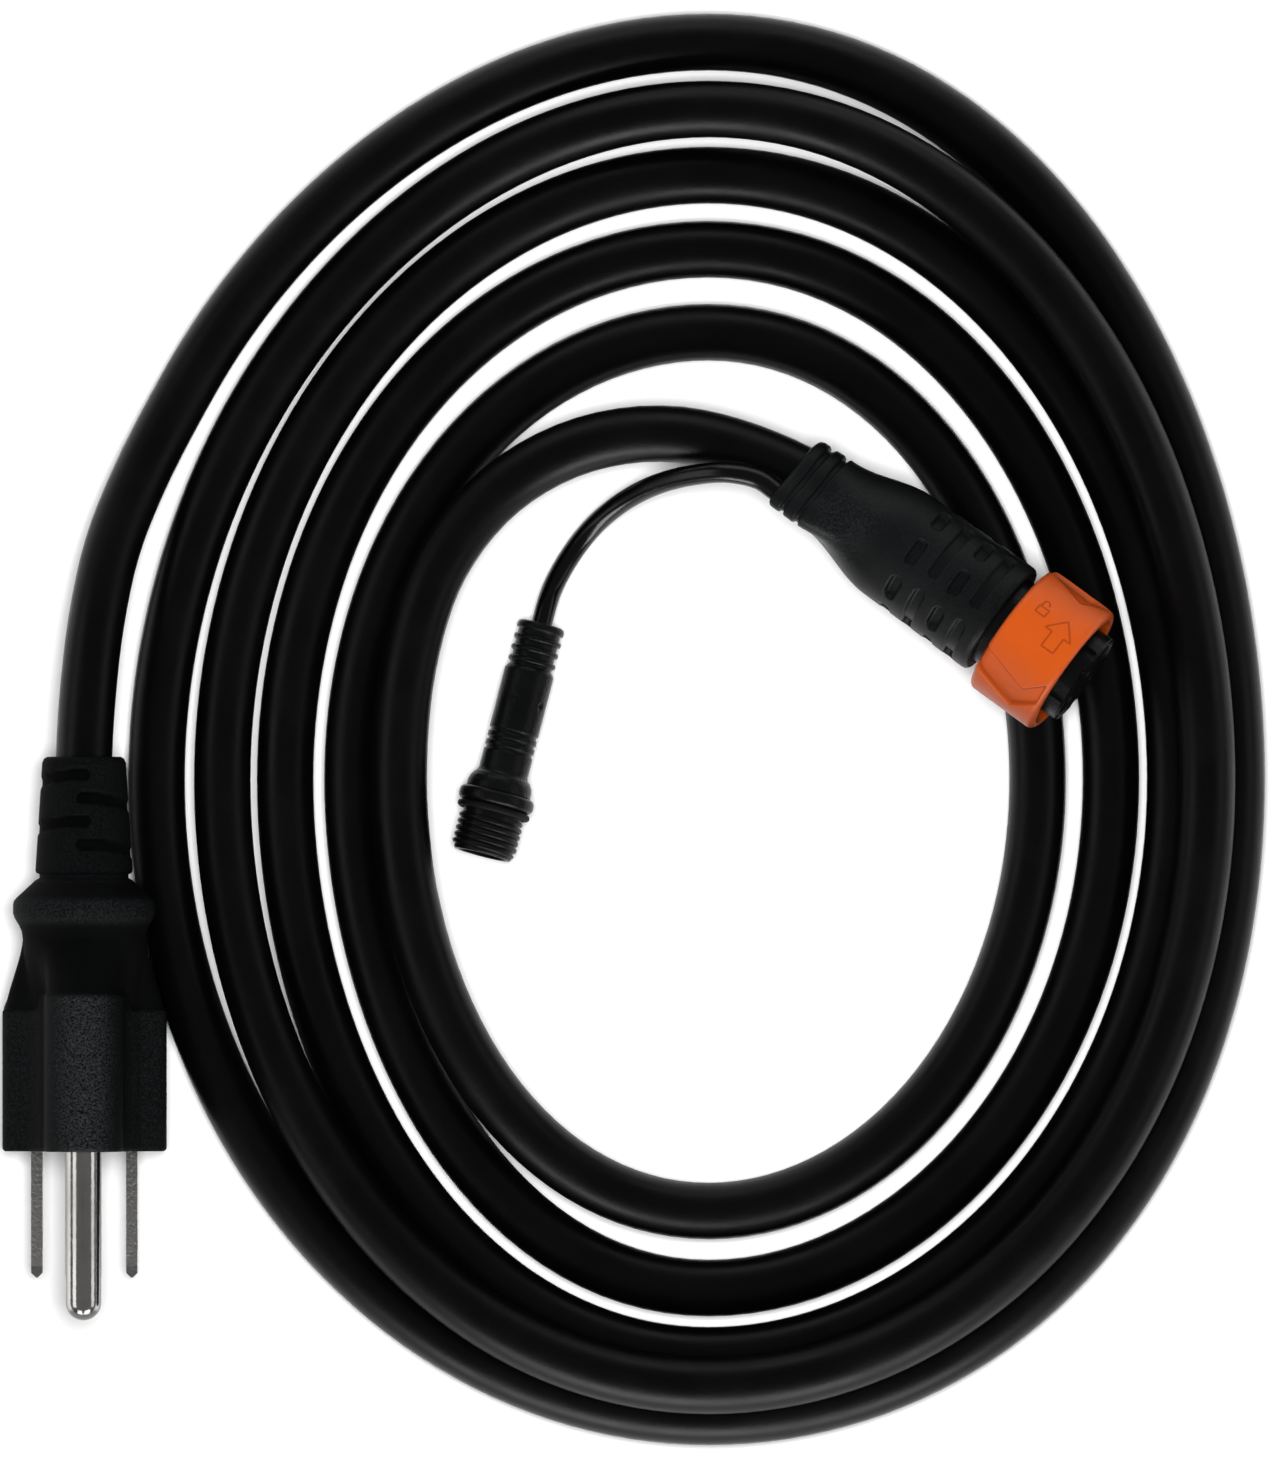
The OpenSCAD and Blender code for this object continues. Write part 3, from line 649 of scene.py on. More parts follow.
class POWERCORD_OT_stage(Operator):
    """Sets the floor, the soft lights and the camera straight above"""

    bl_idname = "power_cord.stage"
    bl_label = "Stage"

    floor_half = 3.0
    sky_strength = 0.15
    above_height = 1.6
    above_size = 0.5
    above_share = 7.8
    box_distance = 0.9
    box_width = 1.1
    box_height = 0.4
    # Name of each soft box, where it stands in degrees, its share of the power and its height
    boxes = (
        ("left", 180, 0.4, 0.5),
        ("right", 0, 0.3, 0.5),
        ("far", 90, 0.5, 0.3),
        ("near", 270, 3.0, 0.3),
    )

    def execute(self, context):
        settings = context.scene.power_cord_stage
        self.make_floor(settings)
        self.make_lights(settings)
        self.make_camera(context.scene)
        return {"FINISHED"}

    def make_floor(self, settings):
        mesh = bpy.data.meshes.new("floor")
        half = self.floor_half
        corners = [(-half, -half, 0), (half, -half, 0), (half, half, 0), (-half, half, 0)]
        mesh.from_pydata(corners, [], [(0, 1, 2, 3)])
        floor = bpy.data.objects.new("floor", mesh)
        bpy.context.scene.collection.objects.link(floor)
        material = bpy.data.materials.new("floor_white")
        material.use_nodes = True
        colour = (*settings.floor_colour, 1)
        fill_shader(material, {"Base Color": colour, "Roughness": 0.8, "Specular IOR Level": 0.2})
        mesh.materials.append(material)

    def make_lights(self, settings):
        """A broad light from above for the floor and the colours, and four low soft boxes for the gloss."""
        world = bpy.data.worlds.new("studio")
        world.use_nodes = True
        sky = world.node_tree.nodes["Background"]
        fill_sockets(world.node_tree, sky, {"Color": (1, 1, 1, 1), "Strength": self.sky_strength})
        bpy.context.scene.world = world
        bpy.context.scene.view_settings.view_transform = "Standard"
        power = settings.light_power
        place = (0, 0, self.above_height)
        size = self.above_size
        above = self.soft_box("soft_above", place, size, size, power * self.above_share)
        above.visible_glossy = False
        for name, turn, share, height in self.boxes:
            a = math.radians(turn)
            place = (self.box_distance * math.cos(a), self.box_distance * math.sin(a), height)
            box = self.soft_box(f"soft_{name}", place, self.box_width, self.box_height, power * share)
            box.visible_diffuse = False

    def soft_box(self, name, place, width, height, power):
        """A flat light that looks at the origin."""
        light = bpy.data.lights.new(name, "AREA")
        light.shape = "RECTANGLE"
        light.size = width
        light.size_y = height
        light.energy = power
        lamp = bpy.data.objects.new(name, light)
        lamp.location = place
        lamp.rotation_euler = (-Vector(place)).to_track_quat("-Z", "Y").to_euler()
        bpy.context.scene.collection.objects.link(lamp)
        return lamp

    def make_camera(self, scene):
        """Looks straight down, with the photograph's scale at the height of SCALE_HEIGHT."""
        data = bpy.data.cameras.new("photo_view")
        data.sensor_fit = "AUTO"
        data.sensor_width = SENSOR
        view_height = IMAGE_HEIGHT / PIXELS_PER_MM * MM
        data.lens = SENSOR * CAMERA_HEIGHT / view_height
        data.clip_start = 0.01
        data.clip_end = 20
        camera = bpy.data.objects.new("photo_view", data)
        camera.location = IMAGE_CENTRE * MM + Vector((0, 0, CAMERA_HEIGHT + SCALE_HEIGHT))
        scene.collection.objects.link(camera)
        scene.camera = camera


class POWERCORD_OT_mains_cord(Operator):
    """Lays the mains cord as one unbroken length from the lock connector to the plug"""

    bl_idname = "power_cord.mains_cord"
    bl_label = "Mains cord"

    def execute(self, context):
        diameter = context.scene.power_cord_cords.cord_diameter
        line = mains_route(diameter / MM)
        nodes = ("plug_lead", "cord_coil", "connector_tail")
        piece = put_cord("mains_cord", line, diameter, "cord_jacket_black", *nodes)
        wires = [f"plug_{pole}_wire" for pole in ("line", "neutral", "ground")]
        plug_pieces = [frame["nodes"][name] for name in (*BLADES, "ground_pin", "blade_bridge", *wires)]
        plug_pieces.append(bpy.data.objects["plug_moulding"])
        line_length(line) * MM
        return {"FINISHED"}


class POWERCORD_OT_signal_lead(Operator):
    """Lays the thin signal lead from the lock connector to the small connector"""

    bl_idname = "power_cord.signal_lead"
    bl_label = "Signal lead"

    def execute(self, context):
        diameter = context.scene.power_cord_cords.lead_diameter
        line = signal_route(diameter / MM)
        piece = put_cord("thin_lead", line, diameter, "lead_jacket_black", "signal_lead")
        new_pieces = ("small_moulding", "small_relief_ribs", "small_shell", "small_thread")
        ends = [bpy.data.objects[name] for name in new_pieces]
        inside = ["signal_insert", "signal_o_ring"]
        for pole in ("plus", "minus"):
            inside += [f"small_{pole}_socket", f"small_{pole}_wire"]
        ends += [frame["nodes"][name] for name in inside]
        line_length(line) * MM
        return {"FINISHED"}


class POWERCORD_OT_finishes(Operator):
    """Makes the finishes and gives them to the solids that stay"""

    bl_idname = "power_cord.finishes"
    bl_label = "Finishes"

    # Name, colour it comes from, shares of it when fresh and worn, roughness of both, grain, specular level
    plain_finishes = (
        ("cord_jacket_black", "jacket", (1.0, 1.4), (0.36, 0.46), (1800, 0.12, 60), 0.16),
        ("lead_jacket_black", "jacket", (1.0, 1.4), (0.2, 0.3), (1800, 0.08, 60), 0.32),
        ("moulding_black", "moulding", (1.0, 1.7), (0.28, 0.4), (2600, 0.4, 150), 0.15),
        ("moulding_textured", "moulding", (0.6, 1.0), (0.38, 0.52), (3500, 0.8, 150), 0.06),
        ("grip_black", "moulding", (1.5, 2.5), (0.3, 0.42), (2900, 0.6, 150), 0.13),
        ("rigid_black", "housing", (1.0, 1.6), (0.3, 0.42), (2200, 0.25, 120), 0.15),
        ("soft_seal", "housing", (1.2, 2.0), (0.6, 0.75), (2600, 0.3, 150), 0.15),
        ("lock_ring_orange", "ring", (1.0, 0.9), (0.36, 0.5), (2400, 0.18, 110), 0.25),
        # The outlines' darker orange is painted shade along the raised arrow and padlock
        ("ring_outline_shaded_orange", "ring", (0.64, 0.576), (0.4, 0.5), (2400, 0.18, 110), 0.2),
    )
    metal_grain = (1500, 0.1, 200)
    wire_colours = {
        "wire_black": (0.015, 0.015, 0.015),
        "wire_white": (0.75, 0.75, 0.72),
        "wire_green": (0.03, 0.22, 0.06),
        "wire_violet": (0.16, 0.05, 0.28),
        "wire_grey": (0.32, 0.32, 0.33),
    }
    finish_of_slot = {
        "cord_jacket": "cord_jacket_black",
        "moulded_black": "moulding_black",
        "housing_black": "rigid_black",
        "lock_orange": "lock_ring_orange",
        "plated_metal": "prong_plating",
        "contact_brass": "bare_brass",
        "seal_rubber": "soft_seal",
        "bridge_plastic": "bridge_cream",
    }

    def execute(self, context):
        mouldings = context.scene.power_cord_mouldings
        colours = {
            "jacket": context.scene.power_cord_cords.jacket_colour,
            "moulding": mouldings.moulding_colour,
            "housing": mouldings.housing_colour,
            "ring": mouldings.ring_colour,
        }
        grain_group()
        handling_group()
        for name, source, (fresh, worn), roughness, grain, specular in self.plain_finishes:
            colour = shade_of(colours[source], fresh)
            worn_colour = shade_of(colours[source], worn)
            finish_material(name, colour, worn_colour, roughness, grain, specular=specular)
        materials = bpy.data.materials
        # Lighter specks on the raised grain of the plug and the grip are painted highlights
        paint_speck_highlights(materials["moulding_textured"], shade_of(colours["moulding"], 19), roughness=(0.85, 0.42))
        paint_speck_highlights(materials["grip_black"], shade_of(colours["moulding"], 9), roughness=(0.5, 0.33))
        # Painted shade in the corners of the ring's recesses
        paint_shade(materials["lock_ring_orange"], shade_of(colours["ring"], 0.5))
        self.make_plating(mouldings.plating_colour)
        self.make_inner_finishes()
        self.paint_solids()
        return {"FINISHED"}

    def make_plating(self, plating):
        """The pin is polished, and the blades are stamped and blotchy."""
        pin = finish_material(
            "prong_plating", shade_of(plating, 1.0), shade_of(plating, 0.8),
            roughness=(0.08, 0.2), grain=self.metal_grain, metallic=1.0,
        )
        # Painted shade on the pin's end, sides and underside
        paint_end_shade(pin, shade_of(plating, 0.2), shade_sides=True)
        blades = finish_material(
            "blade_plating", shade_of(plating, 0.85), shade_of(plating, 0.612),
            roughness=(0.34, 0.5), grain=(2400, 0.7, 260), metallic=1.0, patch_scale=900.0,
        )
        # Painted shade on the faces at the blades' ends
        paint_end_shade(blades, shade_of(plating, 0.04))

    def make_inner_finishes(self):
        """Contacts, bridge and wires."""
        finish_material(
            "bare_brass", (0.72, 0.5, 0.2), (0.5, 0.33, 0.12),
            roughness=(0.2, 0.36), grain=self.metal_grain, metallic=1.0,
        )
        finish_material(
            "bridge_cream", (0.62, 0.6, 0.53), (0.5, 0.48, 0.42),
            roughness=(0.45, 0.6), grain=(2000, 0.2, 100),
        )
        for slot, colour in self.wire_colours.items():
            finish_material(
                f"insulated_{slot}", colour, shade_of(colour, 0.8),
                roughness=(0.35, 0.5), grain=(2000, 0.12, 90),
            )

    def paint_solids(self):
        """Each solid gets the finish of its slot, and the blades get their own."""
        for subpart in frame["record"]["subparts"]:
            slot = subpart["material_slot"]
            finish = self.finish_of_slot.get(slot, f"insulated_{slot}")
            if subpart["node"] in BLADES:
                finish = "blade_plating"
            for entry in frame["nodes"][subpart["node"]].material_slots:
                entry.material = bpy.data.materials[finish]


# Plug, in millimetres from its rear

CORD_HOLE_R = 3.85
PLUG_WIDTH = 21.9
BAR_TOP = -0.3
RIDGE_R = 5.2
GROUND_Y = 7.1
BOOT_LENGTH = 16.8
BOOT_R = 6.0
COLLAR_Z = 20.6
NECK_Z = 24.3
NECK_R = 8.2
BODY_Z = 33.6
RIDGE_Z = 31.5
FACE_Z = 52.7
FLOOR_Y = -11.5
CORNER_R = 2.2
CORNER_PIECES = 8
RIDGE_PIECES = 12


def arc_points(centre_x, centre_y, radius, start, end, pieces):
    """Points of an arc between two angles in degrees."""
    points = []
    for k in range(pieces + 1):
        a = math.radians(mix(start, end, k / pieces))
        points.append((centre_x + radius * math.cos(a), centre_y + radius * math.sin(a)))
    return points


def plug_section_points():
    """Half of the plug's section from the bottom middle up the right side, with its corners rounded."""
    centre_x = PLUG_WIDTH / 2 - CORNER_R
    points = [(0.0, FLOOR_Y)]
    points += arc_points(centre_x, FLOOR_Y + CORNER_R, CORNER_R, -90, 0, CORNER_PIECES)
    points += arc_points(centre_x, BAR_TOP - CORNER_R, CORNER_R, 0, 80, CORNER_PIECES)
    points += [(7.6, 0.2), (6.3, 2.0), (5.5, 3.6), (RIDGE_R, 5.0)]
    points += arc_points(0.0, GROUND_Y, RIDGE_R, 0, 90, RIDGE_PIECES)
    return points


def section_reach(points, angle):
    """Distance from the middle to the section's edge, at an angle from straight down to straight up."""
    direction = Vector((math.sin(angle), -math.cos(angle)))
    best = 0.0
    for (x0, y0), (x1, y1) in zip(points, points[1:]):
        edge = Vector((x1 - x0, y1 - y0))
        cross = direction.x * edge.y - direction.y * edge.x
        if abs(cross) < 1e-9:
            continue
        t = (x0 * edge.y - y0 * edge.x) / cross
        u = (x0 * direction.y - y0 * direction.x) / cross
        if t > 0 and -1e-6 <= u <= 1 + 1e-6:
            best = max(best, t)
    return best


class POWERCORD_OT_plug(Operator):
    """Moulds the plug with its slotted strain relief, collar, shoulders and ridge"""

    bl_idname = "power_cord.plug"
    bl_label = "Plug moulding"

    around = 240
    spacing = 0.32
    body_rows = 110
    body_step = 0.25
    slot_count = 4
    slot_pitch = 3.1
    slot_first = 3.6
    slot_half = 0.72
    slot_edge = 0.25
    slot_depth = 1.2
    side_depth = 0.2
    slot_slant = 1.2
    slot_reach = 92.0
    ledge_depth = 0.4
    face_round = 0.35
    face_round_length = 0.4
    # How deep the grain and its painted speck highlights are on each part, from 0 to 1, and what the ridge's
    # crown, a band of painted highlight, and the bar's side add
    boot_grain = 0.1
    collar_grain = 0.35
    ridge_grain = 0.2
    crown_highlight_adds = 0.75
    bar_grain = 0.04
    bar_side_adds = 0.16

    def execute(self, context):
        half = plug_section_points()
        self.reach = []
        for k in range(self.around):
            from_bottom = abs(turn_between(2 * math.pi * k / self.around, -90))
            self.reach.append(section_reach(half, math.radians(from_bottom)))
        boot = [
            (CORD_HOLE_R, 0.0), (4.9, 0.0), (5.35, 0.25), (5.6, 0.8), (6.5, BOOT_LENGTH - 1.6),
            (6.4, BOOT_LENGTH - 1.3), (5.95, BOOT_LENGTH - 1.1), (5.95, BOOT_LENGTH - 0.6),
            (6.5, BOOT_LENGTH - 0.3),
        ]
        collar = [
            (9.1, 18.9), (9.4, 19.3), (9.5, 19.8), (9.5, 20.9), (9.3, 21.5), (8.7, 22.5), (8.35, 23.3),
            (NECK_R, NECK_Z),
        ]
        body = [(NECK_R, NECK_Z + self.body_step * k) for k in range(1, self.body_rows + 1)]
        rim = [(NECK_R, FACE_Z - away) for away in (0.6, 0.3, 0.1, 0.0)]
        inside = [(4.0, FACE_Z), (0.6, FACE_Z), (0.6, 12.0), (CORD_HOLE_R, 10.0)]
        corners = boot + collar + body + rim + inside
        loop = fine_loop(corners, self.spacing)
        mesh = round_skin("plug_moulding", PLUG_FRAME, loop, self.around, self.dent, self.texture)
        put_piece("plug_moulding", mesh, CORD_SET, "moulded_black", "moulding_textured", "plug_body")
        return {"FINISHED"}

    def dent(self, radius, height, angle):
        """The body gets its section and the strain relief its slots. The inside stays plain."""
        if height > NECK_Z and radius > 0.7:
            return self.body_dent(radius, height, angle)
        if radius > 4.5 and height < BOOT_LENGTH:
            return self.slot_dent(height, angle)
        return 0.0

    def body_dent(self, radius, height, angle):
        """The shoulders flare out straight from the neck, and ridge and bar start at small ledges."""
        k = round(angle / (2 * math.pi) * self.around) % self.around
        full = self.reach[k]
        on_ridge = step(full * math.sin(angle), 2.2, 2.0)
        start = mix(BODY_Z, RIDGE_Z, on_ridge)
        flare = clamp((height - NECK_Z) / (start - NECK_Z))
        flare = mix(flare, ease(flare), 0.3)
        upper_side = step(full * math.sin(angle), -9.5, 1.0)
        ledge = self.ledge_depth * upper_side * (1 - step(height, start + 0.2, 0.25)) * flare
        rounding = self.face_round * max(0.0, 1 - (FACE_Z - height) / self.face_round_length) ** 2
        share = radius / NECK_R
        return radius - share * (mix(NECK_R, full, flare) - ledge - rounding)

    def texture(self, height, angle, depth):
        """Strain relief, ridge and bar are grained, with painted speck highlights and a band of painted
        highlight along the ridge's crown, and the neck, shoulders and slots are smooth.
        """
        if height < BOOT_LENGTH:
            return self.boot_grain * (1 - clamp(depth / 0.3))
        if height < NECK_Z:
            return self.collar_grain * (1 - step(abs(height - COLLAR_Z), 1.6, 1.2))
        across = abs(turn_between(angle, 90))
        on_ridge = 1 - step(across, 48.0, 16.0)
        start = mix(BODY_Z, RIDGE_Z, on_ridge)
        # The crown adds a band of painted highlight along the top of the ridge
        ridge = self.ridge_grain + self.crown_highlight_adds * (1 - step(across, 14.0, 24.0))
        bar = self.bar_grain + self.bar_side_adds * step(across, 62.0, 20.0)
        return mix(bar, ridge, on_ridge) * step(height, start + 0.4, 0.8)

    def slot_dent(self, height, angle):
        """Slots with round ends that start on one side and reach past the middle of the top and bottom."""
        deepest = self.side_depth + (self.slot_depth - self.side_depth) * math.sin(angle) ** 2
        depth = 0.0
        for k in range(self.slot_count):
            side, lean = (180, 1) if k % 2 == 0 else (0, -1)
            off = turn_between(angle, side)
            slant = self.slot_slant * math.sin(math.radians(off)) * lean
            away = height - self.slot_first - self.slot_pitch * k - slant
            past = max(0.0, abs(off) - self.slot_reach) * math.radians(1) * BOOT_R
            depth = max(depth, deepest * (1 - step(math.hypot(away, past), self.slot_half, self.slot_edge)))
        return depth


# Lock connector, in millimetres from its rear

GRIP_LENGTH = 34.0
GRIP_R = 8.05
HOUSING_HOLE_R = 6.55
TAPER_START = 5.0
TAPER_LENGTH = 12.0
TAPER_R = 5.5


class POWERCORD_OT_connector(Operator):
    """Moulds the grip of the lock connector with its rims, taper, lead lobe and rows of slots"""

    bl_idname = "power_cord.connector"
    bl_label = "Connector moulding"

    around = 288
    spacing = 0.16
    taper_rows = 31
    taper_step = 0.4
    # Half length and spacing of a row's slots in degrees, and the first slot's middle
    short_slots = (14.0, 45.0, -4.0)
    long_slots = (36.0, 90.0, -29.0)
    # Place of each row from the front, and its slots
    rows = ((13.7, short_slots), (10.1, long_slots), (6.6, short_slots), (3.2, long_slots))
    slot_half = 0.78
    slot_edge = 0.14
    slot_depth = 0.95
    rim_grooves = (2.12, 4.52)
    lobe_r = 2.3
    lobe_spread = 21.0
    # How deep the grain and its painted speck highlights are on each part, from 0 to 1, the upper side of
    # the taper most, as a painted highlight
    side_grain = 0.12
    taper_highlight_grain = 0.75
    front_grain = 0.26

    def execute(self, context):
        rear = [
            (CORD_HOLE_R, 0.0), (4.7, 0.0), (5.1, 0.2), (5.33, 0.7), (5.35, 1.5), (5.2, 1.75), (4.82, 1.85),
            (4.8, 2.4), (5.15, 2.5), (5.4, 2.75), (5.47, 3.9), (5.3, 4.15), (4.92, 4.25), (4.9, 4.8),
            (5.3, 4.92),
        ]
        taper = []
        for k in range(self.taper_rows):
            z = TAPER_START + self.taper_step * k
            taper.append((mix(TAPER_R, GRIP_R - 0.1, ease((z - TAPER_START) / TAPER_LENGTH)), z))
        front = [
            (GRIP_R, GRIP_LENGTH - 8), (GRIP_R + 0.1, GRIP_LENGTH - 0.8), (GRIP_R, GRIP_LENGTH - 0.3),
            (GRIP_R - 0.3, GRIP_LENGTH), (HOUSING_HOLE_R, GRIP_LENGTH), (HOUSING_HOLE_R, GRIP_LENGTH - 4),
            (CORD_HOLE_R, 10.0),
        ]
        loop = fine_loop(rear + taper + front, self.spacing)
        mesh = round_skin("connector_moulding", CONNECTOR_FRAME, loop, self.around, self.dent, self.texture)
        put_piece("connector_moulding", mesh, CORD_SET, "moulded_black", "grip_black", "connector_grip")
        return {"FINISHED"}

    def dent(self, radius, height, angle):
        """The outside gets its rows of slots and the lead lobe. The inside stays plain."""
        if radius < 4.6 or (height > 20 and radius < 7):
            return 0.0
        depth = 0.0
        for from_front, (half, spacing, first) in self.rows:
            away = abs(height - (GRIP_LENGTH - from_front))
            if away > 1.2:
                continue
            off = (math.degrees(angle) - first + spacing / 2) % spacing - spacing / 2
            past = max(0.0, (abs(off) - half + 5) * math.radians(1) * GRIP_R)
            reach = math.hypot(past, away)
            depth = max(depth, self.slot_depth * (1 - step(reach, self.slot_half, self.slot_edge)))
        return depth - self.lobe(radius, height, angle)

    def texture(self, height, angle, depth):
        """The grain and its painted speck highlights show most on the upper side of the taper, as a painted
        highlight, and the slots are smooth, with fewer painted specks.
        """
        top = 1 - step(abs(turn_between(angle, 25)), 45.0, 70.0)
        # Painted highlight on the upper side of the taper
        highlight_zone = top * (1 - step(abs(height - 10.0), 4.0, 5.0))
        taper = mix(self.side_grain, self.taper_highlight_grain, highlight_zone)
        grip = mix(taper, self.front_grain, step(height, 18.0, 4.0))
        return grip * (1 - 0.6 * clamp(depth / 0.4))

    def lobe(self, radius, height, angle):
        """Swelling over the signal lead: the rims run round it, and it fades into the taper."""
        off = turn_between(angle, math.degrees(math.atan2(LEAD_EXIT[1], LEAD_EXIT[0])))
        rim = 0.5 * max(0.0, 1 - height / 0.5) ** 2
        for groove in self.rim_grooves:
            rim += 0.55 * (1 - step(abs(height - groove), 0.33, 0.2))
        reach = math.hypot(*LEAD_EXIT) + self.lobe_r - rim - radius
        fade = 1 - ease((height - 4) / 11)
        return max(0.0, reach) * fade * math.exp(-((off / self.lobe_spread) ** 2))


# Lock ring, in millimetres from the lock connector's rear

RING_START = 35.5
RING_LENGTH = 10.4
RING_R = 9.55
RING_INNER_R = 8.3
WEB_R = 6.5
WEB_LENGTH = 1.9


def line_at(pairs, value):
    """Straight lines through (place, reading) pairs."""
    for (a, ra), (b, rb) in zip(pairs, pairs[1:]):
        if value <= b:
            return mix(ra, rb, clamp((value - a) / (b - a)))
    return pairs[-1][1]


class POWERCORD_OT_lock_ring(Operator):
    """Turns the lock ring with its chevron recesses, lugs and the raised arrow and padlock outlines"""

    bl_idname = "power_cord.lock_ring"
    bl_label = "Lock ring"

    around = 480
    spacing = 0.16
    recess_depth = 0.7
    recess_end = 9.7
    fillet_r = 0.9
    mark_r = 0.15
    mark_sink = 0.07
    # Lugs: where they start and end from the rear, and their angles in degrees
    lug_span = (8.0, 9.6)
    lug_angles = (60, 76)
    lug_height = 0.8
    # Slot in the web for the stop rib: its middle and half its angle in degrees, and its depth
    slot_middle = 22.5
    slot_half_angle = 29.5
    slot_depth = 0.65
    # Edges of a recess: (distance from the rear, angle)
    lower_edge = ((0.0, 25.0), (7.2, 39.0), (9.6, 24.0))
    upper_edge = ((0.0, 46.0), (6.4, 64.0), (9.6, 44.0))

    def execute(self, context):
        end = RING_START + RING_LENGTH
        fillet = []
        for k in range(7):
            a = math.radians(15 * k)
            fillet.append((RING_R - self.fillet_r * (1 - math.sin(a)), self.fillet_r * (1 - math.cos(a))))
        outside = [(r, RING_START + z) for r, z in fillet]
        outside += [(r, end - z) for r, z in reversed(fillet)]
        inside = [
            (RING_INNER_R + 0.15, end), (RING_INNER_R, end - 0.15), (RING_INNER_R, RING_START + WEB_LENGTH),
            (WEB_R, RING_START + WEB_LENGTH), (WEB_R, RING_START),
        ]
        loop = fine_loop(outside + inside, self.spacing)
        # The ring's texture attribute holds where the painted shade at the recesses' corners goes
        mesh = round_skin("orange_ring", CONNECTOR_FRAME, loop, self.around, self.dent, self.recess_corner_shade)
        put_piece("orange_ring", mesh, LOCK_RING, "lock_orange", "lock_ring_orange", "lock_ring")
        # The raised outlines get the darker orange: painted shade along them
        lines = line_curve("ring_mark_lines", [self.arrow(), *self.padlock()])
        values = {"Bead Radius": self.mark_r * MM, "Finish": bpy.data.materials["ring_outline_shaded_orange"]}
        marks = grown_mesh("ring_marks", lines, bead_tree(), values)
        put_piece("ring_marks", marks, LOCK_RING, "lock_orange", "ring_outline_shaded_orange")
        return {"FINISHED"}

    def dent(self, radius, height, angle):
        """Recesses on the outside, and the slot and the lugs on the inside."""
        along = height - RING_START
        if radius < RING_R - 1.0:
            return self.inside_dent(radius, along, angle)
        return self.recess_depth * step(self.inside_recess(along, angle), 0.0, 0.2)

    def inside_recess(self, along, angle):
        """How far a place lies inside the nearest recess, in millimetres, and below 0 outside it."""
        arc = math.radians(1) * RING_R
        best = -9.0
        for k in range(3):
            off = (math.degrees(angle) - 120 * k) % 360
            side_shade = (off - line_at(self.lower_edge, along)) * arc
            high = (line_at(self.upper_edge, along) - off) * arc
            best = max(best, min(side_shade, high, (self.recess_end - along) * 2))
        return best

    def recess_corner_shade(self, height, angle, depth):
        """Painted shade in the corner at the foot of each recess's wall."""
        inside = self.inside_recess(height - RING_START, angle)
        return 1 - step(abs(inside - 0.12), 0.16, 0.2)

    def inside_dent(self, radius, along, angle):
        """The slot for the stop rib in the web, and three lugs that stand inwards near the front."""
        if radius < WEB_R + 0.45:
            off = abs(turn_between(angle, self.slot_middle))
            return -self.slot_depth * (1 - step(off, self.slot_half_angle, 1.0))
        first, last = self.lug_span
        if first < along < last and radius > RING_INNER_R - 0.01:
            start, end = self.lug_angles
            if start <= math.degrees(angle) % 120 <= end:
                return self.lug_height
        return 0.0

    def wrapped(self, points, closed):
        """An outline of (distance from the rear, arc length) points, laid on the ring's outside."""
        corners = list(points) + ([points[0]] if closed else [])
        line = []
        for (z0, arc0), (z1, arc1) in zip(corners, corners[1:]):
            pieces = max(1, math.ceil(math.hypot(z1 - z0, arc1 - arc0) / 0.2))
            line += [(mix(z0, z1, k / pieces), mix(arc0, arc1, k / pieces)) for k in range(pieces)]
        if not closed:
            line.append(points[-1])
        r = RING_R - self.mark_sink
        places = []
        for along, arc in line:
            a = arc / RING_R
            places.append(CONNECTOR_FRAME @ Vector((r * math.cos(a), r * math.sin(a), RING_START + along)))
        return places, closed

    def arrow(self):
        """Outline of a block arrow that points round the ring."""
        middle, arc = 7.0, -2.7
        outline = (
            (-0.95, 2.4), (0.95, 2.4), (0.95, 0.0), (2.05, 0.0), (0.0, -2.5), (-2.05, 0.0), (-0.95, 0.0),
        )
        return self.wrapped([(middle - x, arc + y) for x, y in outline], True)

    def padlock(self):
        """Outline of a small open padlock: a body and a raised shackle."""
        middle, arc = 3.3, -4.6
        body = ((-0.75, 0.9), (0.75, 0.9), (0.75, -0.2), (-0.75, -0.2))
        shackle = [(-0.5, -0.2), (-0.5, -0.75)]
        for k in range(7):
            a = math.radians(180 - 30 * k)
            shackle.append((-0.05 + 0.45 * math.cos(a), -0.9 - 0.42 * math.sin(a)))
        shackle.append((0.4, -0.75))
        return (
            self.wrapped([(middle + x, arc + y) for x, y in body], True),
            self.wrapped([(middle + x, arc + y) for x, y in shackle], False),
        )


# Small connector, in millimetres from its rear

SMALL_LENGTH = 31.9
BARREL_R = 3.35
BARREL_END = 21.0
COLLAR_START = 23.3
COLLAR_END = 25.3
COLLAR_R = 5.1
THREAD_R = 4.4
THREAD_ROOT_R = THREAD_R - 0.42
LEAD_HOLE_R = 1.42


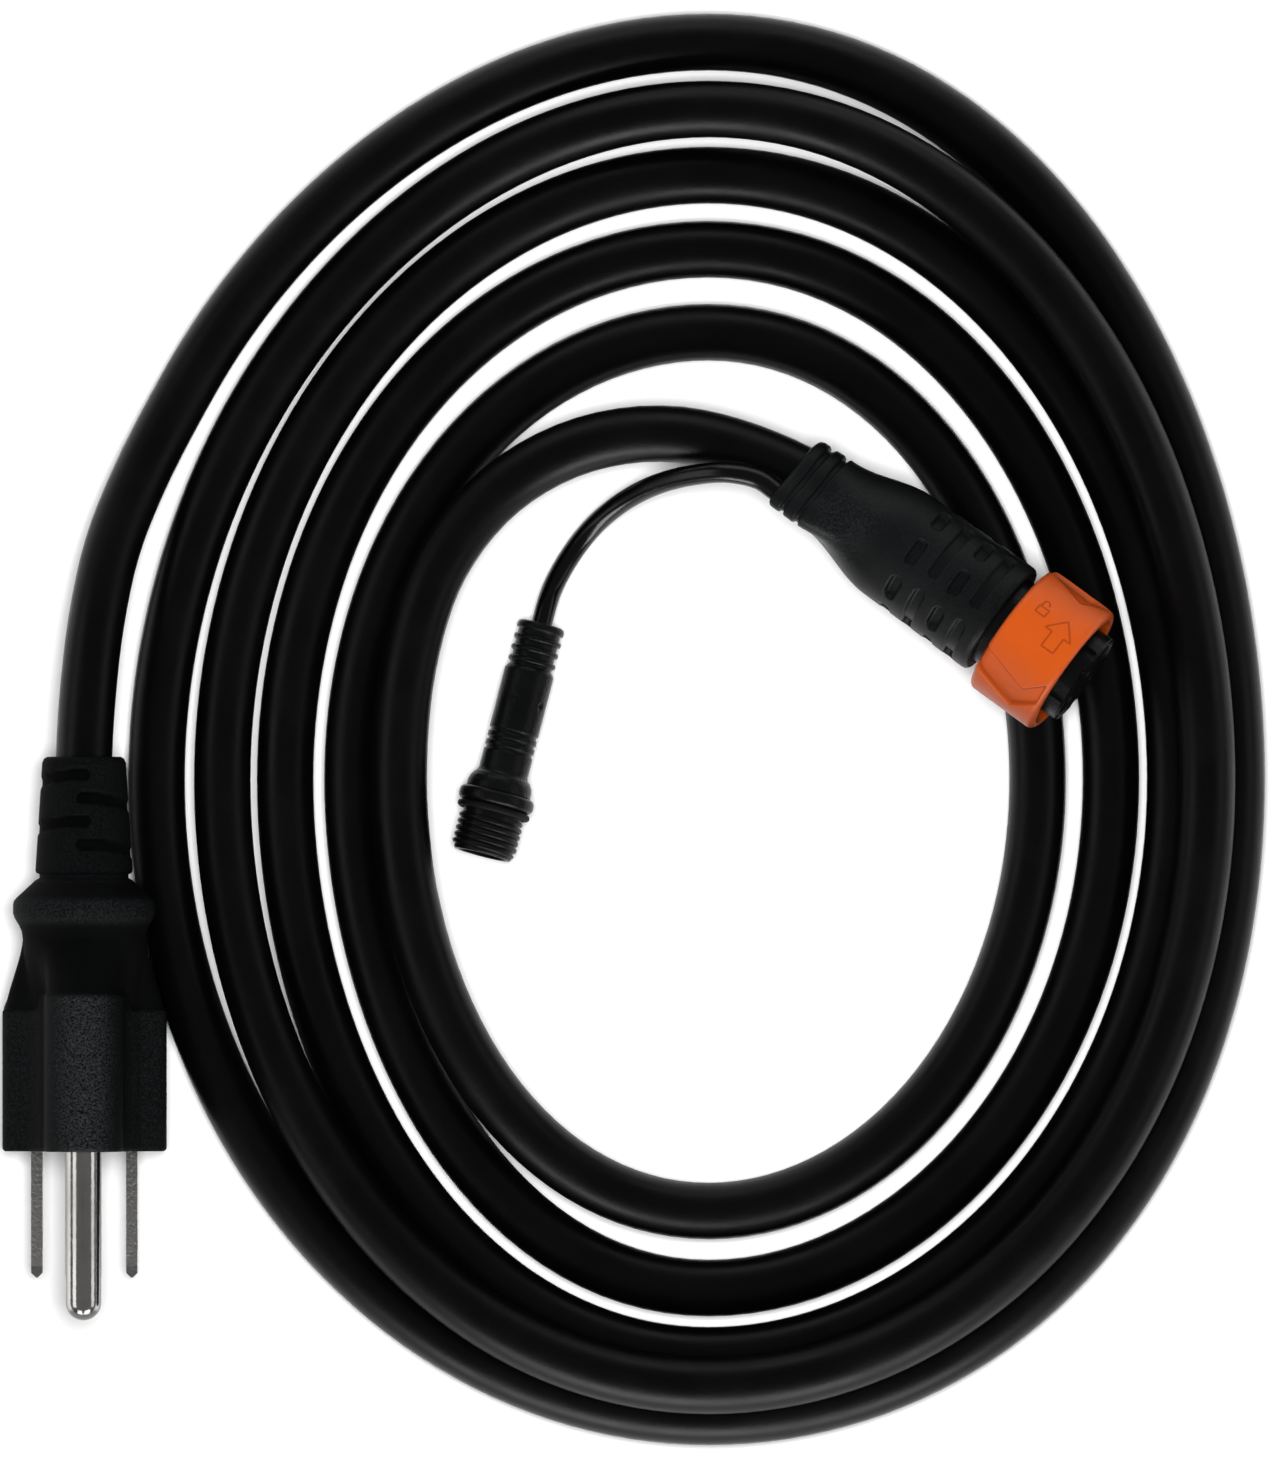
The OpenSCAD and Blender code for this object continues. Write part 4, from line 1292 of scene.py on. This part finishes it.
class POWERCORD_OT_small_connector(Operator):
    """Moulds the small connector: ribbed strain relief, barrel with thin rings, shell, collar and thread"""

    bl_idname = "power_cord.small_connector"
    bl_label = "Small connector"

    around = 128
    ring_grooves = (14.9, 16.1, 17.3)
    groove_depth = 0.22
    # Place of each pit and its angle in degrees
    pit_places = ((10.6, 18.0), (10.9, -52.0))
    pit_r = 0.32
    pit_depth = 0.4
    rib_count = 3
    rib_r = 0.42
    rib_first = 2.25
    rib_pitch = 1.5
    thread_turns = 5.4
    thread_height = 4.8
    thread_ridge_r = 0.4

    def execute(self, context):
        black = ("moulded_black", "moulding_black")
        rigid = ("housing_black", "rigid_black")
        put_piece("small_moulding", self.moulding(), CORD_SET, *black, "signal_grip")
        put_piece("small_relief_ribs", self.row_of_ribs(), CORD_SET, *black)
        put_piece("small_shell", self.shell(), CORD_SET, *rigid, "signal_shell")
        put_piece("small_thread", self.thread(), CORD_SET, *rigid)
        return {"FINISHED"}

    def moulding(self):
        """Strain relief, barrel with its thin rings, and the flare up to the collar."""
        r = BARREL_R
        corners = [
            (LEAD_HOLE_R, 0.0), (r - 0.6, 0.0), (r - 0.3, 0.15), (r - 0.15, 0.5), (r - 0.15, 1.0),
            (r - 0.5, 1.15), (r - 0.5, 6.0), (r - 0.2, 6.3), (r, 6.7),
        ]
        for z in self.ring_grooves:
            foot = r - self.groove_depth
            corners += [(r, z), (foot, z + 0.15), (foot, z + 0.45), (r, z + 0.6)]
        corners += [
            (r, BARREL_END - 0.5), (r + 0.15, BARREL_END - 0.1), (r + 0.5, BARREL_END + 0.25),
            (r + 0.85, BARREL_END + 0.8), (r + 1.02, BARREL_END + 1.4), (r + 1.05, COLLAR_START),
            (2.7, COLLAR_START), (2.7, 16.0), (LEAD_HOLE_R, 6.0),
        ]
        return round_skin("small_moulding", SMALL_FRAME, fine_loop(corners, 0.22), self.around, self.pits)

    def pits(self, radius, height, angle):
        """Two small pits where the mould held the wires."""
        if radius < BARREL_R - 0.01:
            return 0.0
        depth = 0.0
        for place, turn in self.pit_places:
            away = math.hypot(height - place, math.radians(turn_between(angle, turn)) * radius)
            depth = max(depth, self.pit_depth * (1 - step(away, self.pit_r, 0.3)))
        return depth

    def row_of_ribs(self):
        """Ribs round the strain relief."""
        values = {
            "Row Radius": (BARREL_R - 0.52) * MM,
            "Rib Radius": self.rib_r * MM,
            "Count": self.rib_count,
            "First": (0.0, 0.0, self.rib_first * MM),
            "Pitch": (0.0, 0.0, self.rib_pitch * MM),
            "Finish": bpy.data.materials["moulding_black"],
        }
        mesh = grown_mesh("small_relief_ribs", bpy.data.meshes.new("rib_seed"), rib_tree(), values)
        mesh.transform(SMALL_FRAME @ Matrix.Scale(1 / MM, 4))
        return mesh

    def shell(self):
        """Collar and hollow nose that the thread winds round."""
        start, end, front = COLLAR_START, COLLAR_END, SMALL_LENGTH
        corners = [
            (2.75, start), (COLLAR_R - 0.65, start), (COLLAR_R - 0.3, start + 0.12),
            (COLLAR_R - 0.08, start + 0.35), (COLLAR_R, start + 0.7), (COLLAR_R, end - 0.75),
            (COLLAR_R - 0.08, end - 0.45), (COLLAR_R - 0.3, end - 0.2),
            (THREAD_R, end), (THREAD_R, end + 0.25), (THREAD_R - 0.1, end + 0.35),
            (THREAD_ROOT_R, end + 0.45), (THREAD_ROOT_R, front - 0.25), (THREAD_ROOT_R - 0.2, front),
            (3.3, front), (3.25, front - 0.1), (3.25, end - 0.8), (2.75, end - 0.8),
        ]
        return round_skin("small_shell", SMALL_FRAME, fine_loop(corners, 0.25), self.around, no_dent)

    def thread(self):
        """Screw thread round the nose."""
        values = {
            "Root Radius": THREAD_ROOT_R * MM,
            "Ridge Radius": self.thread_ridge_r * MM,
            "Turns": self.thread_turns,
            "Height": self.thread_height * MM,
            "Finish": bpy.data.materials["rigid_black"],
        }
        mesh = grown_mesh("small_thread", bpy.data.meshes.new("thread_seed"), thread_tree(), values)
        mesh.transform(SMALL_FRAME @ Matrix.Translation((0, 0, COLLAR_END + 1.3)) @ Matrix.Scale(1 / MM, 4))
        return mesh


class POWERCORD_PT_panel(Panel):
    """Lists the pieces of the power cord"""

    bl_idname = "POWERCORD_PT_panel"
    bl_label = "Power cord"
    bl_space_type = "VIEW_3D"
    bl_region_type = "UI"
    bl_category = "Power cord"

    def draw(self, context):
        for name in SETTINGS:
            group = getattr(context.scene, name)
            box = self.layout.box()
            for prop in group.bl_rna.properties:
                if prop.identifier not in {"rna_type", "name"}:
                    box.prop(group, prop.identifier)
        for operator in OPERATORS:
            self.layout.operator(operator.bl_idname)


SETTINGS = {
    "power_cord_cords": CordSettings,
    "power_cord_mouldings": MouldingSettings,
    "power_cord_stage": StageSettings,
}
OPERATORS = (
    POWERCORD_OT_finishes,
    POWERCORD_OT_stage,
    POWERCORD_OT_plug,
    POWERCORD_OT_connector,
    POWERCORD_OT_lock_ring,
    POWERCORD_OT_small_connector,
    POWERCORD_OT_mains_cord,
    POWERCORD_OT_signal_lead,
)


def register():
    for name, group in SETTINGS.items():
        bpy.utils.register_class(group)
        setattr(bpy.types.Scene, name, PointerProperty(type=group))
    for operator in OPERATORS:
        bpy.utils.register_class(operator)
    bpy.utils.register_class(POWERCORD_PT_panel)


def unregister():
    bpy.utils.unregister_class(POWERCORD_PT_panel)
    for operator in reversed(OPERATORS):
        bpy.utils.unregister_class(operator)
    for name, group in SETTINGS.items():
        delattr(bpy.types.Scene, name)
        bpy.utils.unregister_class(group)


def main():
    register()
    for operator in OPERATORS:
        category, name = operator.bl_idname.split(".")
        getattr(getattr(bpy.ops, category), name)()


if __name__ == "__main__":
    main()
